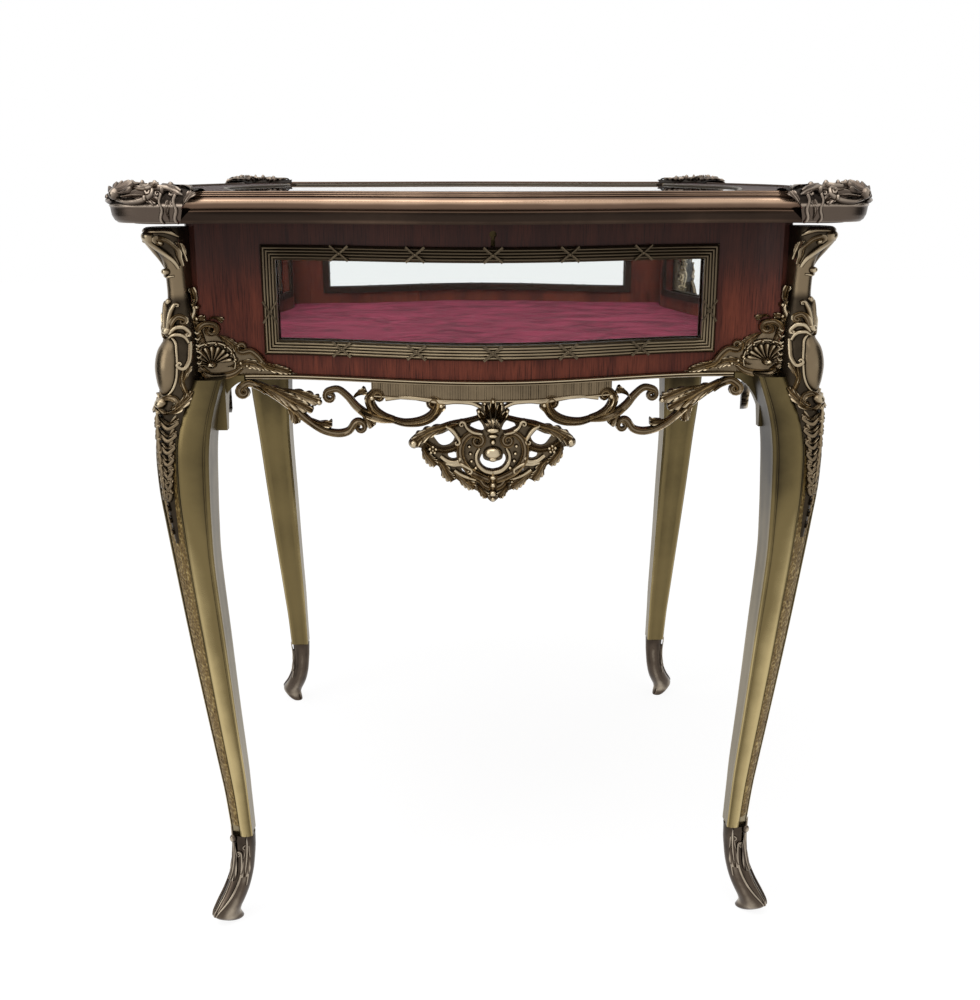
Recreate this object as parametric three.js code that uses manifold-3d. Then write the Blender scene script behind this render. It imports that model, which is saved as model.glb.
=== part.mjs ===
// A square display table on four cabriole legs: a glazed serpentine case with a
// hinged glass lid, cast and pierced mounts, and a box lock under the lid.
// Millimetres, +Z up, origin on the floor under the middle of the table.
// The front faces -Y and the lid opens at the rear.
import * as THREE from 'three';
import { mergeVertices } from 'three/addons/utils/BufferGeometryUtils.js';
import Module from 'manifold-3d';

const wasm = await Module();
wasm.setup();

// Heights from the floor up
const legHeight = 578;
const stripHeight = 5;
const panelHeight = 140;
const lidGap = 1;
const lidThickness = 28;

// Clearances
const gap = 0.3;
const cutOverrun = 4;

// Plan of the case: its sides are hollow next to the corners and bow out between,
// and the corners flare beyond the hollows
const caseHollow = 260;
const caseBow = 47;
const caseFlareRun = 32;
const caseCornerFlare = 10;
const caseCornerRadius = 10;
const caseCornerTilt = Math.PI / 4;
const caseWall = 14;
const interiorCornerInset = 17;
const interiorCornerRadius = 2;

// Plan of the lid, at the widest line of its edge moulding
const lidOverhang = 58;
const lidBow = 34;
const lidFlareRun = 86;
const lidCornerInset = 18;
const lidCornerRadius = 30;
const lidCornerTilt = Math.PI / 9;

// Windows, with their heights measured from the bottom of the case
const sightHalfWidth = 200;
const sightBottom = 32;
const sightTop = 106;
const rebate = 4;
const frameWidth = 14;
const frameDepth = 5;
const reedRise = 1.8;
const reedCount = 3;
const paneThickness = 3;
const paneSetback = 1;
const beadWidth = 8;
const beadDepth = 3;

// Bottom of the case
const boardThickness = 7;
const padThickness = 6;

// Lid build
const lidMouldingWidth = 12;
const lidFrameDrop = 2;
const lidFrameLap = 19;
const lidInnerBow = 38;
const glassLedge = 8;
const glassSink = 6;
const lidGlassThickness = 4;
const glassBeadWidth = 6;
const glassBeadHeight = 1.6;
const glassBevelWidth = 9;
const glassBevelDepth = 1;

// Legs
const legSocketHeight = 96;
const kneeOutset = 5;
const kneeSize = 54;
const footSplay = 17;
const footSize = 17;
const earLength = 32;
const earCurve = 21;
const earDrop = 52;
const earThickness = 14;

// Corner mounts of the case, from the knee to the lid
const chuteTail = 156;
const chuteHeadroom = 2;
const chuteOutset = 40;
const chuteHalfWidth = 23;

// Pierced mounts under the case
const stripProjection = 5;
const stripSeat = 10;
const apronBandHalfWidth = 113;
const apronBandDrop = 15;
const apronThickness = 3;
const scrollThickness = 5;
const reliefSeat = 1.2;
const loopDrop = 28;
const pendantHalfWidth = 79;
const pendantDrop = 110;
const cabochonRadius = 11;
const cabochonHalfHeight = 9;
const voluteRise = 6.5;
const finialHalfWidth = 4;
const finialHalfHeight = 6;

// Mounts on the panel ends
const spandrelWidth = 84;
const spandrelHeight = 82;
const spandrelBase = 2;
const spandrelCover = 2;
const shellRadius = 15;
const budSize = 5;

// Corner mounts of the lid
const lidMountRun = 78;
const lidMountProjection = 9;
const lidMountCover = 26;
const lidMountRise = 8;

// Hinges
const hingeOffset = 70;
const hingeWidth = 36;
const leafThickness = 1.6;
const leafPlay = 0.1;
const leafLength = 32;
const hingeAxisReach = 15;
const hingeAxisDrop = 3.6;
const knuckleRadius = 3;
const pinRadius = 1.2;
const pinHeadRadius = 2.2;
const pinHeadLength = 1;

// Lock
const lockHalfWidth = 22;
const lockDepth = 12;
const lockHeight = 24;
const lockWall = 1.4;
const keyholeHeight = 13;
const keyholeWidth = 3.4;
const keyholeEyeRadius = 3;
const keyholeDrop = 13;
const tongueThickness = 5;
const tongueWidth = 8;
const tongueDrop = 16;
const loopWidth = 5;
const loopHeight = 9;
const boltThickness = 3.6;
const boltHeight = 7;
const boltNoseLength = 7;
const boltTailLength = 9;
const linkPlateHalfWidth = 16;

// Facets
const faceSteps = 12;
const cornerSteps = 2;
const roundSides = 8;

// Levels worked out from the heights
const caseBottom = legHeight + stripHeight;
const caseTop = caseBottom + panelHeight;
const lidBottom = caseTop + lidGap;
const lidTop = lidBottom + lidThickness;
const sightFoot = caseBottom + sightBottom;
const sightHead = caseBottom + sightTop;

const casePlan = {
  hollow: caseHollow,
  bow: caseBow,
  hollowAt: caseHollow - caseFlareRun,
  centre: caseHollow + caseCornerFlare,
  radius: caseCornerRadius,
  tilt: caseCornerTilt,
};
const interiorPlan = {
  ...casePlan,
  hollow: caseHollow - caseWall,
  centre: casePlan.centre - interiorCornerInset,
  radius: interiorCornerRadius,
};
const lidHollow = caseHollow + lidOverhang;
const lidPlan = {
  hollow: lidHollow,
  bow: lidBow,
  hollowAt: lidHollow - lidFlareRun,
  centre: lidHollow - lidCornerInset,
  radius: lidCornerRadius,
  tilt: lidCornerTilt,
};
const lidInnerPlan = {
  ...casePlan,
  hollow: caseHollow - lidFrameLap,
  bow: lidInnerBow,
  centre: casePlan.centre - lidFrameLap,
};

// Reaches worked out from the case's
const kneeReach = caseHollow + kneeOutset;
const footReach = caseHollow + footSplay;
const chuteReach = caseHollow + chuteOutset;
const apronHalfWidth = kneeReach - earLength;
const hingeAxis = caseHollow + caseBow + hingeAxisReach;

const brass = { color: 0x8c7440, roughness: 0.35, metalness: 1 };
const smoothBrass = { color: 0x9c8a5c, roughness: 0.3, metalness: 1 };
const darkBrass = { color: 0x6e5a34, roughness: 0.45, metalness: 1 };
const kingwood = { color: 0x5a2a20, roughness: 0.4, metalness: 0 };
const velvet = { color: 0x9a3e62, roughness: 0.95, metalness: 0 };
const clearGlass = { color: 0xdfe8e4, roughness: 0.05, metalness: 0 };
const steel = { color: 0x8d8f92, roughness: 0.35, metalness: 1 };

const table = new THREE.Group();

function show(name, geometry, look, turn = 0) {
  const mesh = new THREE.Mesh(geometry, new THREE.MeshStandardMaterial(look));
  mesh.name = name;
  mesh.rotation.z = turn;
  table.add(mesh);
}

// Solids from three.js geometries, with shared corners and outward faces
function solidOf(geometry) {
  const bare = geometry.clone();
  for (const name of Object.keys(bare.attributes)) {
    if (name !== 'position') bare.deleteAttribute(name);
  }
  const merged = mergeVertices(bare);
  const points = merged.attributes.position.array;
  const index = Uint32Array.from(merged.index.array);
  if (signedVolume(points, index) < 0) {
    for (let i = 0; i < index.length; i += 3) {
      [index[i + 1], index[i + 2]] = [index[i + 2], index[i + 1]];
    }
  }
  return new wasm.Manifold(new wasm.Mesh({ numProp: 3, vertProperties: points, triVerts: index }));
}

function signedVolume(points, index) {
  const corners = [new THREE.Vector3(), new THREE.Vector3(), new THREE.Vector3()];
  let volume = 0;
  for (let i = 0; i < index.length; i += 3) {
    corners.forEach((corner, j) => corner.fromArray(points, index[i + j] * 3));
    volume += corners[0].dot(corners[1].cross(corners[2])) / 6;
  }
  return volume;
}

function geometryOf(solid) {
  const { vertProperties, triVerts } = solid.getMesh();
  const geometry = new THREE.BufferGeometry();
  geometry.setAttribute('position', new THREE.BufferAttribute(vertProperties, 3));
  geometry.setIndex(new THREE.BufferAttribute(triVerts, 1));
  geometry.computeVertexNormals();
  return geometry;
}

function union(solids) {
  return solids.reduce((whole, solid) => whole.add(solid));
}

function box(x0, x1, y0, y1, z0, z1) {
  const geometry = new THREE.BoxGeometry(x1 - x0, y1 - y0, z1 - z0);
  return solidOf(geometry.translate((x0 + x1) / 2, (y0 + y1) / 2, (z0 + z1) / 2));
}

// A rod along X
function rod(radius, x0, x1, y, z) {
  const geometry = new THREE.CylinderGeometry(radius, radius, x1 - x0, roundSides);
  geometry.rotateZ(Math.PI / 2);
  return solidOf(geometry.translate((x0 + x1) / 2, y, z));
}

// A prism standing on a plan outline
function prism(points, z0, z1) {
  const geometry = new THREE.ExtrudeGeometry(new THREE.Shape(points), {
    depth: z1 - z0,
    bevelEnabled: false,
  });
  return solidOf(geometry.translate(0, 0, z0));
}

// A prism of an outline drawn on the front elevation, from one reach to another
function elevationPrism(shape, near, far) {
  const geometry = new THREE.ExtrudeGeometry(shape, { depth: far - near, bevelEnabled: false });
  geometry.translate(0, 0, near);
  return solidOf(geometry.rotateX(Math.PI / 2));
}

// A skin over rings of corners, closed at both ends or run round to its start
function loft(rings, closed = false) {
  const sides = rings[0].length;
  const corners = rings.flat();
  const index = [];
  const runs = closed ? rings.length : rings.length - 1;
  for (let run = 0; run < runs; run += 1) {
    const here = run * sides;
    const there = ((run + 1) % rings.length) * sides;
    for (let side = 0; side < sides; side += 1) {
      const next = (side + 1) % sides;
      index.push(here + side, here + next, there + next);
      index.push(here + side, there + next, there + side);
    }
  }
  if (!closed) {
    const last = (rings.length - 1) * sides;
    for (const [start, flip] of [[0, true], [last, false]]) {
      const hub = new THREE.Vector3();
      for (let side = 0; side < sides; side += 1) hub.add(corners[start + side]);
      corners.push(hub.divideScalar(sides));
      const centre = corners.length - 1;
      for (let side = 0; side < sides; side += 1) {
        const next = (side + 1) % sides;
        if (flip) index.push(start + next, start + side, centre);
        else index.push(start + side, start + next, centre);
      }
    }
  }
  const geometry = new THREE.BufferGeometry().setFromPoints(corners);
  geometry.setIndex(index);
  return solidOf(geometry);
}

// Where a side's face and its rounded corners run in plan
function shifted(plan, out) {
  return { ...plan, hollow: plan.hollow + out, centre: plan.centre + out };
}

function endOf(plan) {
  return {
    x: plan.centre - plan.radius * Math.sin(plan.tilt),
    y: plan.centre + plan.radius * Math.cos(plan.tilt),
  };
}

function curveAt(plan, x) {
  const run = Math.abs(x);
  if (run <= plan.hollowAt) {
    return plan.hollow + plan.bow * (1 + Math.cos(Math.PI * run / plan.hollowAt)) / 2;
  }
  const end = endOf(plan);
  const share = Math.min((run - plan.hollowAt) / (end.x - plan.hollowAt), 1);
  return plan.hollow + (end.y - plan.hollow) * share ** 2;
}

// The faces are facets between even stations, and all that lies on them follows those
function reachAt(plan, x) {
  const end = endOf(plan);
  const run = Math.abs(x);
  if (run > end.x) {
    const share = Math.min((run - end.x) / (plan.centre - end.x), 1);
    return THREE.MathUtils.lerp(end.y, plan.centre + plan.radius, share);
  }
  const step = 2 * end.x / faceSteps;
  const place = run / step;
  const facet = Math.min(Math.floor(place), faceSteps / 2 - 1);
  return THREE.MathUtils.lerp(
    curveAt(plan, facet * step),
    curveAt(plan, (facet + 1) * step),
    place - facet,
  );
}

function stations(plan, halfWidth) {
  const step = 2 * endOf(plan).x / faceSteps;
  const inner = [];
  for (let i = -faceSteps / 2; i <= faceSteps / 2; i += 1) {
    if (Math.abs(i * step) < halfWidth) inner.push(i * step);
  }
  return [-halfWidth, ...inner, halfWidth];
}

// One side in plan, from the diagonal on its left to the one on its right
function sideOutline(plan) {
  const end = endOf(plan);
  const points = [];
  for (let i = cornerSteps; i > 0; i -= 1) {
    const angle = -plan.tilt + (Math.PI / 4 + plan.tilt) * i / cornerSteps;
    const x = plan.centre + plan.radius * Math.sin(angle);
    const y = plan.centre + plan.radius * Math.cos(angle);
    points.push(new THREE.Vector2(-x, -y));
  }
  for (let i = 0; i <= faceSteps; i += 1) {
    const x = end.x * (2 * i / faceSteps - 1);
    points.push(new THREE.Vector2(x, -reachAt(plan, x)));
  }
  const right = points.slice(0, cornerSteps).reverse();
  right.forEach((point) => points.push(new THREE.Vector2(-point.x, point.y)));
  return points;
}

function ringOutline(plan) {
  const side = sideOutline(plan);
  side.pop();
  const ring = [];
  for (let turn = 0; turn < 4; turn += 1) {
    side.forEach((point) => {
      ring.push(point.clone().rotateAround(new THREE.Vector2(), turn * Math.PI / 2));
    });
  }
  return ring;
}

// A ring that carries a profile of [out, height] pairs round a plan; a pair may
// name another plan to follow
function ringMoulding(plan, profile) {
  const outlines = profile.map(([out, , ownPlan = plan]) => ringOutline(shifted(ownPlan, out)));
  const rings = outlines[0].map((point, i) => profile.map(([, height], j) => (
    new THREE.Vector3(outlines[j][i].x, outlines[j][i].y, height)
  )));
  return loft(rings, true);
}

// A curved strip in front of one face of the case
function faceStrip(halfWidth, from, to, z0, z1) {
  const places = stations(casePlan, halfWidth);
  const front = places.map((x) => new THREE.Vector2(x, -reachAt(casePlan, x) - to));
  const back = places.map((x) => new THREE.Vector2(x, -reachAt(casePlan, x) - from));
  return prism([...front, ...back.reverse()], z0, z1);
}

// A window surround bent to the face: a section of [across, depth] pairs, mitred
function windowSurround(plan, section) {
  const rings = [];
  const ringAt = (x, z, outX, outZ) => rings.push(section.map(([across, depth]) => {
    const px = x + outX * across;
    return new THREE.Vector3(px, -(reachAt(plan, px) + depth), z + outZ * across);
  }));
  for (const [z, direction] of [[sightFoot, 1], [sightHead, -1]]) {
    for (const place of stations(plan, sightHalfWidth)) {
      const isEnd = Math.abs(place) === sightHalfWidth;
      ringAt(place * direction, z, isEnd ? Math.sign(place * direction) : 0, -direction);
    }
  }
  return loft(rings, true);
}

// Relief laid on a face: a tapering limb along points of the elevation
const limbSectionShares = [[-1, 0], [0, 1], [1, 0]];

function limb(points, widths, depth) {
  const path = new THREE.CatmullRomCurve3(points.map(([x, z]) => new THREE.Vector3(x, z, 0)));
  const steps = points.length - 1;
  const rings = [];
  for (let i = 0; i <= steps; i += 1) {
    const share = i / steps;
    const centre = path.getPoint(share);
    const tangent = path.getTangent(share);
    const place = share * (widths.length - 1);
    const from = Math.min(Math.floor(place), widths.length - 2);
    const half = THREE.MathUtils.lerp(widths[from], widths[from + 1], place - from) / 2;
    rings.push(limbSectionShares.map(([acrossShare, rise]) => {
      const across = half * acrossShare;
      const lift = THREE.MathUtils.lerp(reliefSeat, depth, rise);
      const x = centre.x - tangent.y * across;
      const z = centre.y + tangent.x * across;
      return new THREE.Vector3(x, -(reachAt(casePlan, x) + lift), z);
    }));
  }
  return loft(rings);
}

// Relief laid on a face: a domed boss, leaning from the upright by a turn
const domeShares = [[1, 0], [0.66, 0.85]];
const domeSides = 4;

function boss(x, z, halfWidth, halfHeight, depth, turn = 0) {
  const rings = domeShares.map(([spread, rise]) => {
    const ring = [];
    for (let side = 0; side < domeSides; side += 1) {
      const angle = 2 * Math.PI * side / domeSides;
      const across = halfWidth * Math.cos(angle) * spread;
      const up = halfHeight * Math.sin(angle) * spread;
      const px = x + across * Math.cos(turn) + up * Math.sin(turn);
      const pz = z - across * Math.sin(turn) + up * Math.cos(turn);
      const lift = reliefSeat + depth * rise;
      ring.push(new THREE.Vector3(px, -(reachAt(casePlan, px) + lift), pz));
    }
    return ring;
  });
  return loft(rings);
}

const sideTurns = { front: 0, right: Math.PI / 2, rear: Math.PI, left: -Math.PI / 2 };
const cornerTurns = {
  front_right: 0,
  rear_right: Math.PI / 2,
  rear_left: Math.PI,
  front_left: -Math.PI / 2,
};

// Hinge places along the rear, seen from the rear
const hingeCentres = { left: hingeOffset, right: -hingeOffset };
const hingeAxisHeight = lidBottom - hingeAxisDrop;
const leafSeat = leafThickness + gap + leafPlay;

// The room for a hinge leaf, on the rear as it stands or turned to face the front
function leafRecess(centre, z0, z1, facing = 1) {
  const near = facing * (hingeAxis - leafLength - gap);
  const far = facing * (hingeAxis + knuckleRadius + gap);
  const middle = facing * centre;
  const half = hingeWidth / 2 + gap;
  return box(middle - half, middle + half, Math.min(near, far), Math.max(near, far), z0, z1);
}

const lockFront = -reachAt(interiorPlan, lockHalfWidth) + gap;
const lockBack = lockFront + lockDepth;
const lockBottom = caseTop - lockHeight;
const lockMiddle = (lockFront + lockBack) / 2;
const keyholeCentre = caseTop - keyholeDrop;

function keyholeCut(near, far) {
  const slot = new THREE.Shape();
  const half = keyholeWidth / 2;
  const eye = keyholeCentre + keyholeHeight / 2 - keyholeEyeRadius;
  const join = Math.asin(half / keyholeEyeRadius);
  slot.moveTo(-half, keyholeCentre - keyholeHeight / 2);
  slot.lineTo(half, keyholeCentre - keyholeHeight / 2);
  slot.absarc(0, eye, keyholeEyeRadius, join - Math.PI / 2, 3 * Math.PI / 2 - join, false);
  slot.closePath();
  const geometry = new THREE.ExtrudeGeometry(slot, {
    depth: far - near,
    bevelEnabled: false,
    curveSegments: 5,
  });
  geometry.translate(0, 0, near);
  return solidOf(geometry.rotateX(Math.PI / 2));
}

// A wooden panel, mitred on the diagonals and pierced by its window
function panelSolid() {
  const outline = [...sideOutline(casePlan), ...sideOutline(interiorPlan).reverse()];
  const mitred = outline.map((point) => {
    const limit = -point.y - gap;
    return new THREE.Vector2(THREE.MathUtils.clamp(point.x, -limit, limit), point.y);
  });
  const opening = box(
    -sightHalfWidth - rebate,
    sightHalfWidth + rebate,
    -caseHollow - caseBow - cutOverrun,
    -caseHollow + caseWall + cutOverrun,
    sightFoot - rebate,
    sightHead + rebate,
  );
  return prism(mitred, caseBottom, caseTop).subtract(opening);
}

function buildPanels() {
  for (const [side, turn] of Object.entries(sideTurns)) {
    let solid = panelSolid();
    if (side === 'front') {
      solid = solid.subtract(keyholeCut(-lockBack, caseHollow + caseBow + cutOverrun));
    }
    if (side === 'rear') {
      for (const centre of Object.values(hingeCentres)) {
        const recess = leafRecess(centre, caseTop - leafSeat, caseTop + cutOverrun, -1);
        solid = solid.subtract(recess);
      }
    }
    show(`${side}_panel`, geometryOf(solid), kingwood, turn);
  }
}

function buildGlazing() {
  const reeds = [];
  const reedWidth = frameWidth / reedCount;
  for (let reed = 0; reed < reedCount; reed += 1) {
    for (let i = reed === 0 ? 0 : 1; i <= 2; i += 1) {
      const depth = frameDepth - reedRise + reedRise * Math.sin(Math.PI * i / 2);
      reeds.push([reedWidth * (reed + i / 2), depth]);
    }
  }
  const frameSection = [[frameWidth, gap], [0, gap], ...reeds];
  const beadBack = -gap;
  const beadSection = [
    [0, beadBack],
    [0, beadBack - beadDepth],
    [beadWidth, beadBack - beadDepth],
    [beadWidth, beadBack],
  ];
  const pane = faceStrip(
    sightHalfWidth + rebate - gap,
    -paneSetback - paneThickness,
    -paneSetback,
    sightFoot - rebate + gap,
    sightHead + rebate - gap,
  );
  const lockRoom = box(
    -lockHalfWidth - gap,
    lockHalfWidth + gap,
    -caseHollow - caseBow,
    lockBack + gap,
    lockBottom - gap,
    caseTop,
  );
  for (const [side, turn] of Object.entries(sideTurns)) {
    let frame = windowSurround(casePlan, frameSection).subtract(panelSolid());
    let bead = windowSurround(interiorPlan, beadSection).subtract(panelSolid());
    if (side === 'front') {
      frame = frame.subtract(keyholeCut(caseHollow, caseHollow + caseBow + cutOverrun));
      bead = bead.subtract(lockRoom);
    }
    if (side === 'rear') {
      for (const centre of Object.values(hingeCentres)) {
        frame = frame.subtract(leafRecess(centre, caseTop - leafSeat, caseTop, -1));
      }
    }
    show(`${side}_window_frame`, geometryOf(frame), brass, turn);
    show(`${side}_inner_bead`, geometryOf(bead), brass, turn);
    show(`${side}_pane`, geometryOf(pane), clearGlass, turn);
  }
}

function buildCaseBottom() {
  const plan = shifted(interiorPlan, -gap);
  const boardTop = caseBottom + boardThickness;
  show('bottom_board', geometryOf(prism(ringOutline(plan), caseBottom, boardTop)), kingwood);
  const padBottom = boardTop + gap;
  const pad = prism(ringOutline(plan), padBottom, padBottom + padThickness);
  show('velvet_pad', geometryOf(pad), velvet);
}

// Leg stations as [height, inner reach, size] shares, from the socket to the case
const legStationShares = [
  [0, 0.945, 0.433],
  [0.09, 0.951, 0.472],
  [0.152, 0.955, 0.519],
  [0.296, 0.97, 0.602],
  [0.46, 0.985, 0.704],
  [0.625, 1, 0.789],
  [0.707, 1, 0.87],
  [0.789, 0.996, 0.963],
  [0.871, 0.989, 1],
  [0.933, 0.974, 0.963],
  [1, 0.943, 0.889],
];
const chamferShare = 0.5;
const bevelShare = 0.07;

function legSection(inner, size, z) {
  const outer = inner + size;
  const chamfer = chamferShare * size;
  const bevel = bevelShare * size;
  const corners = [
    [inner + bevel, inner],
    [outer - bevel, inner],
    [outer, inner + bevel],
    [outer, outer - chamfer],
    [outer - chamfer, outer],
    [inner + bevel, outer],
    [inner, outer - bevel],
    [inner, inner + bevel],
  ];
  return corners.map(([x, y]) => new THREE.Vector3(x, -y, z));
}

const legTop = caseBottom - gap;

function legSolid(grown = 0) {
  const rings = legStationShares.map(([heightShare, reachShare, sizeShare]) => legSection(
    kneeReach * reachShare - grown,
    kneeSize * sizeShare + 2 * grown,
    THREE.MathUtils.lerp(legSocketHeight, legTop, heightShare),
  ));
  return loft(rings);
}

// The bracket that each leg sends along the rail on both of its sides
function legEars() {
  const inner = casePlan.centre + cutOverrun;
  const tip = apronHalfWidth + gap;
  const ear = new THREE.Shape();
  ear.moveTo(inner, legTop);
  ear.lineTo(tip, legTop);
  ear.lineTo(tip, legTop - stripHeight);
  ear.quadraticCurveTo(tip + earCurve, legTop - stripHeight * 2, kneeReach, legTop - earDrop);
  ear.lineTo(inner, legTop - earDrop);
  ear.closePath();
  const near = caseHollow + stripProjection - earThickness;
  const geometry = new THREE.ExtrudeGeometry(ear, {
    depth: earThickness,
    bevelEnabled: false,
    curveSegments: 5,
  });
  geometry.translate(0, 0, near);
  geometry.rotateX(Math.PI / 2);
  const swap = new THREE.Matrix4().set(0, -1, 0, 0, -1, 0, 0, 0, 0, 0, 1, 0, 0, 0, 0, 1);
  const mirrored = geometry.clone().applyMatrix4(swap);
  return [solidOf(geometry), solidOf(mirrored)];
}

// Foot stations as [height, reach, half size] shares
const footStationShares = [
  [0, 1, 0.9],
  [0.06, 1, 1],
  [0.15, 0.985, 0.97],
  [0.28, 0.965, 0.8],
  [0.45, 0.95, 0.68],
  [0.7, 0.945, 0.68],
  [0.9, 0.945, 0.74],
  [1, 0.945, 0.84],
];

function roundSection(reach, half, z, sides) {
  const ring = [];
  for (let side = 0; side < sides; side += 1) {
    const angle = 2 * Math.PI * (side + 1 / 2) / sides;
    const x = reach + half * Math.cos(angle);
    ring.push(new THREE.Vector3(x, -reach + half * Math.sin(angle), z));
  }
  return ring;
}

function buildLegs() {
  const leg = union([legSolid(), ...legEars()]);
  const shoe = loft(footStationShares.map(([heightShare, reachShare, sizeShare]) => roundSection(
    footReach * reachShare,
    footSize * sizeShare,
    (legSocketHeight - gap) * heightShare,
    8,
  )));
  for (const [corner, turn] of Object.entries(cornerTurns)) {
    show(`${corner}_leg`, geometryOf(leg), smoothBrass, turn);
    show(`${corner}_sabot`, geometryOf(shoe), darkBrass, turn);
  }
}

// Chute stations as [height, reach, half width] shares, from the husk tail to the lid
const chuteStationShares = [
  [0, 1.005, 0.12],
  [0.1, 1.012, 0.35],
  [0.2, 1.012, 0.58],
  [0.28, 1.003, 0.87],
  [0.35, 1, 1],
  [0.42, 0.997, 0.96],
  [0.48, 0.98, 0.72],
  [0.53, 0.98, 0.9],
  [0.6, 0.977, 0.9],
  [0.65, 0.97, 0.68],
  [0.72, 0.967, 0.78],
  [0.79, 0.968, 0.54],
  [0.87, 0.968, 0.52],
  [0.92, 0.973, 0.7],
  [0.97, 0.98, 0.8],
  [1, 0.973, 0.6],
];

const chuteBottom = caseBottom - chuteTail;
const chuteTop = caseTop - chuteHeadroom;

function chuteSolid(grown = 0, turn = 0) {
  const rings = chuteStationShares.map(([heightShare, reachShare, widthShare]) => roundSection(
    chuteReach * reachShare,
    chuteHalfWidth * widthShare + grown,
    THREE.MathUtils.lerp(chuteBottom, chuteTop, heightShare),
    8,
  ));
  const upright = new THREE.Vector3(0, 0, 1);
  rings.flat().forEach((point) => point.applyAxisAngle(upright, turn));
  return loft(rings);
}

// The largest body that a cut leaves
function largest(solid) {
  return solid.decompose().sort((a, b) => b.volume() - a.volume())[0];
}

function buildChutes() {
  const core = prism(ringOutline(shifted(casePlan, gap)), caseBottom, caseTop + cutOverrun);
  const chute = largest(chuteSolid().subtract(core).subtract(legSolid(gap)));
  for (const [corner, turn] of Object.entries(cornerTurns)) {
    show(`${corner}_chute`, geometryOf(chute), brass, turn);
  }
}

// Points of the elevation given as shares of a width and of a drop below the case
function placed(shares, halfWidth, drop, side = 1) {
  return shares.map(([across, down]) => [side * halfWidth * across, legHeight - drop * down]);
}

// Half outlines of the pierced work, as shares
const innerScrollShares = [
  [0.14, 0.05],
  [0.2, 0.95],
  [0.34, 1.05],
  [0.46, 0.7],
  [0.52, 0.2],
];
const outerLoopShares = [
  [0.26, 0.1],
  [0.28, 0.85],
  [0.39, 1.15],
  [0.49, 0.95],
  [0.58, 1.15],
  [0.64, 0.95],
  [0.66, 0.55],
];
const risingStemShares = [
  [0.57, 1.1],
  [0.61, 1.7],
  [0.66, 1.75],
  [0.74, 1.2],
  [0.84, 0.65],
  [0.93, 0.4],
  [0.98, 0.1],
];
const curlShares = [
  [0.66, 1.7],
  [0.7, 1.1],
  [0.68, 0.5],
  [0.63, 0.55],
];
const leafShares = [
  [0.74, 1.15],
  [0.79, 1.5],
  [0.84, 1.65],
];

function scrollBand(side) {
  const limbs = [
    [innerScrollShares, [1, 1.2, 1.4, 1.2, 1]],
    [outerLoopShares, [1.2, 1.4, 1.6, 1.2, 1.6, 1.4, 1.2]],
    [risingStemShares, [2.2, 1.8, 2, 2, 1.8, 1.6, 2.4]],
    [curlShares, [1.6, 1.2, 1, 2.2]],
    [leafShares, [1.6, 1.8, 0.6]],
  ];
  return limbs.map(([shares, widthShares]) => limb(
    placed(shares, apronHalfWidth, loopDrop, side),
    widthShares.map((share) => scrollThickness * share),
    scrollThickness,
  ));
}

// The pendant: an outline with its piercings, drawn for one half
const pendantEdgeShares = [
  [0, 0.1],
  [0.2, 0.22],
  [0.42, 0.36],
  [0.62, 0.28],
  [0.86, 0.36],
  [1, 0.5],
  [0.84, 0.6],
  [0.72, 0.68],
  [0.58, 0.76],
  [0.4, 0.84],
  [0.26, 0.92],
  [0, 1],
];
const wingHoleShares = [
  [0.36, 0.46],
  [0.5, 0.42],
  [0.66, 0.44],
  [0.6, 0.54],
  [0.44, 0.54],
];
const crownShare = 0.36;
const crownFluteShare = 0.5;
const crownTaperShare = 0.04;
const cabochonShare = 0.57;
const finialShare = 0.93;
const voluteShares = [0.17, 0.46];
const lyreShares = [[0.18, 0.5], [0.3, 0.6], [0.22, 0.74], [0, 0.8]];
const wingShares = [[0.36, 0.4], [0.62, 0.34], [0.84, 0.44], [0.76, 0.56]];
const lowerHoleShares = [
  [0.34, 0.64],
  [0.44, 0.62],
  [0.42, 0.72],
  [0.3, 0.76],
];

function pathOf(points) {
  const path = new THREE.Path();
  path.setFromPoints(points.map(([x, z]) => new THREE.Vector2(x, z)));
  return path;
}

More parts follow.
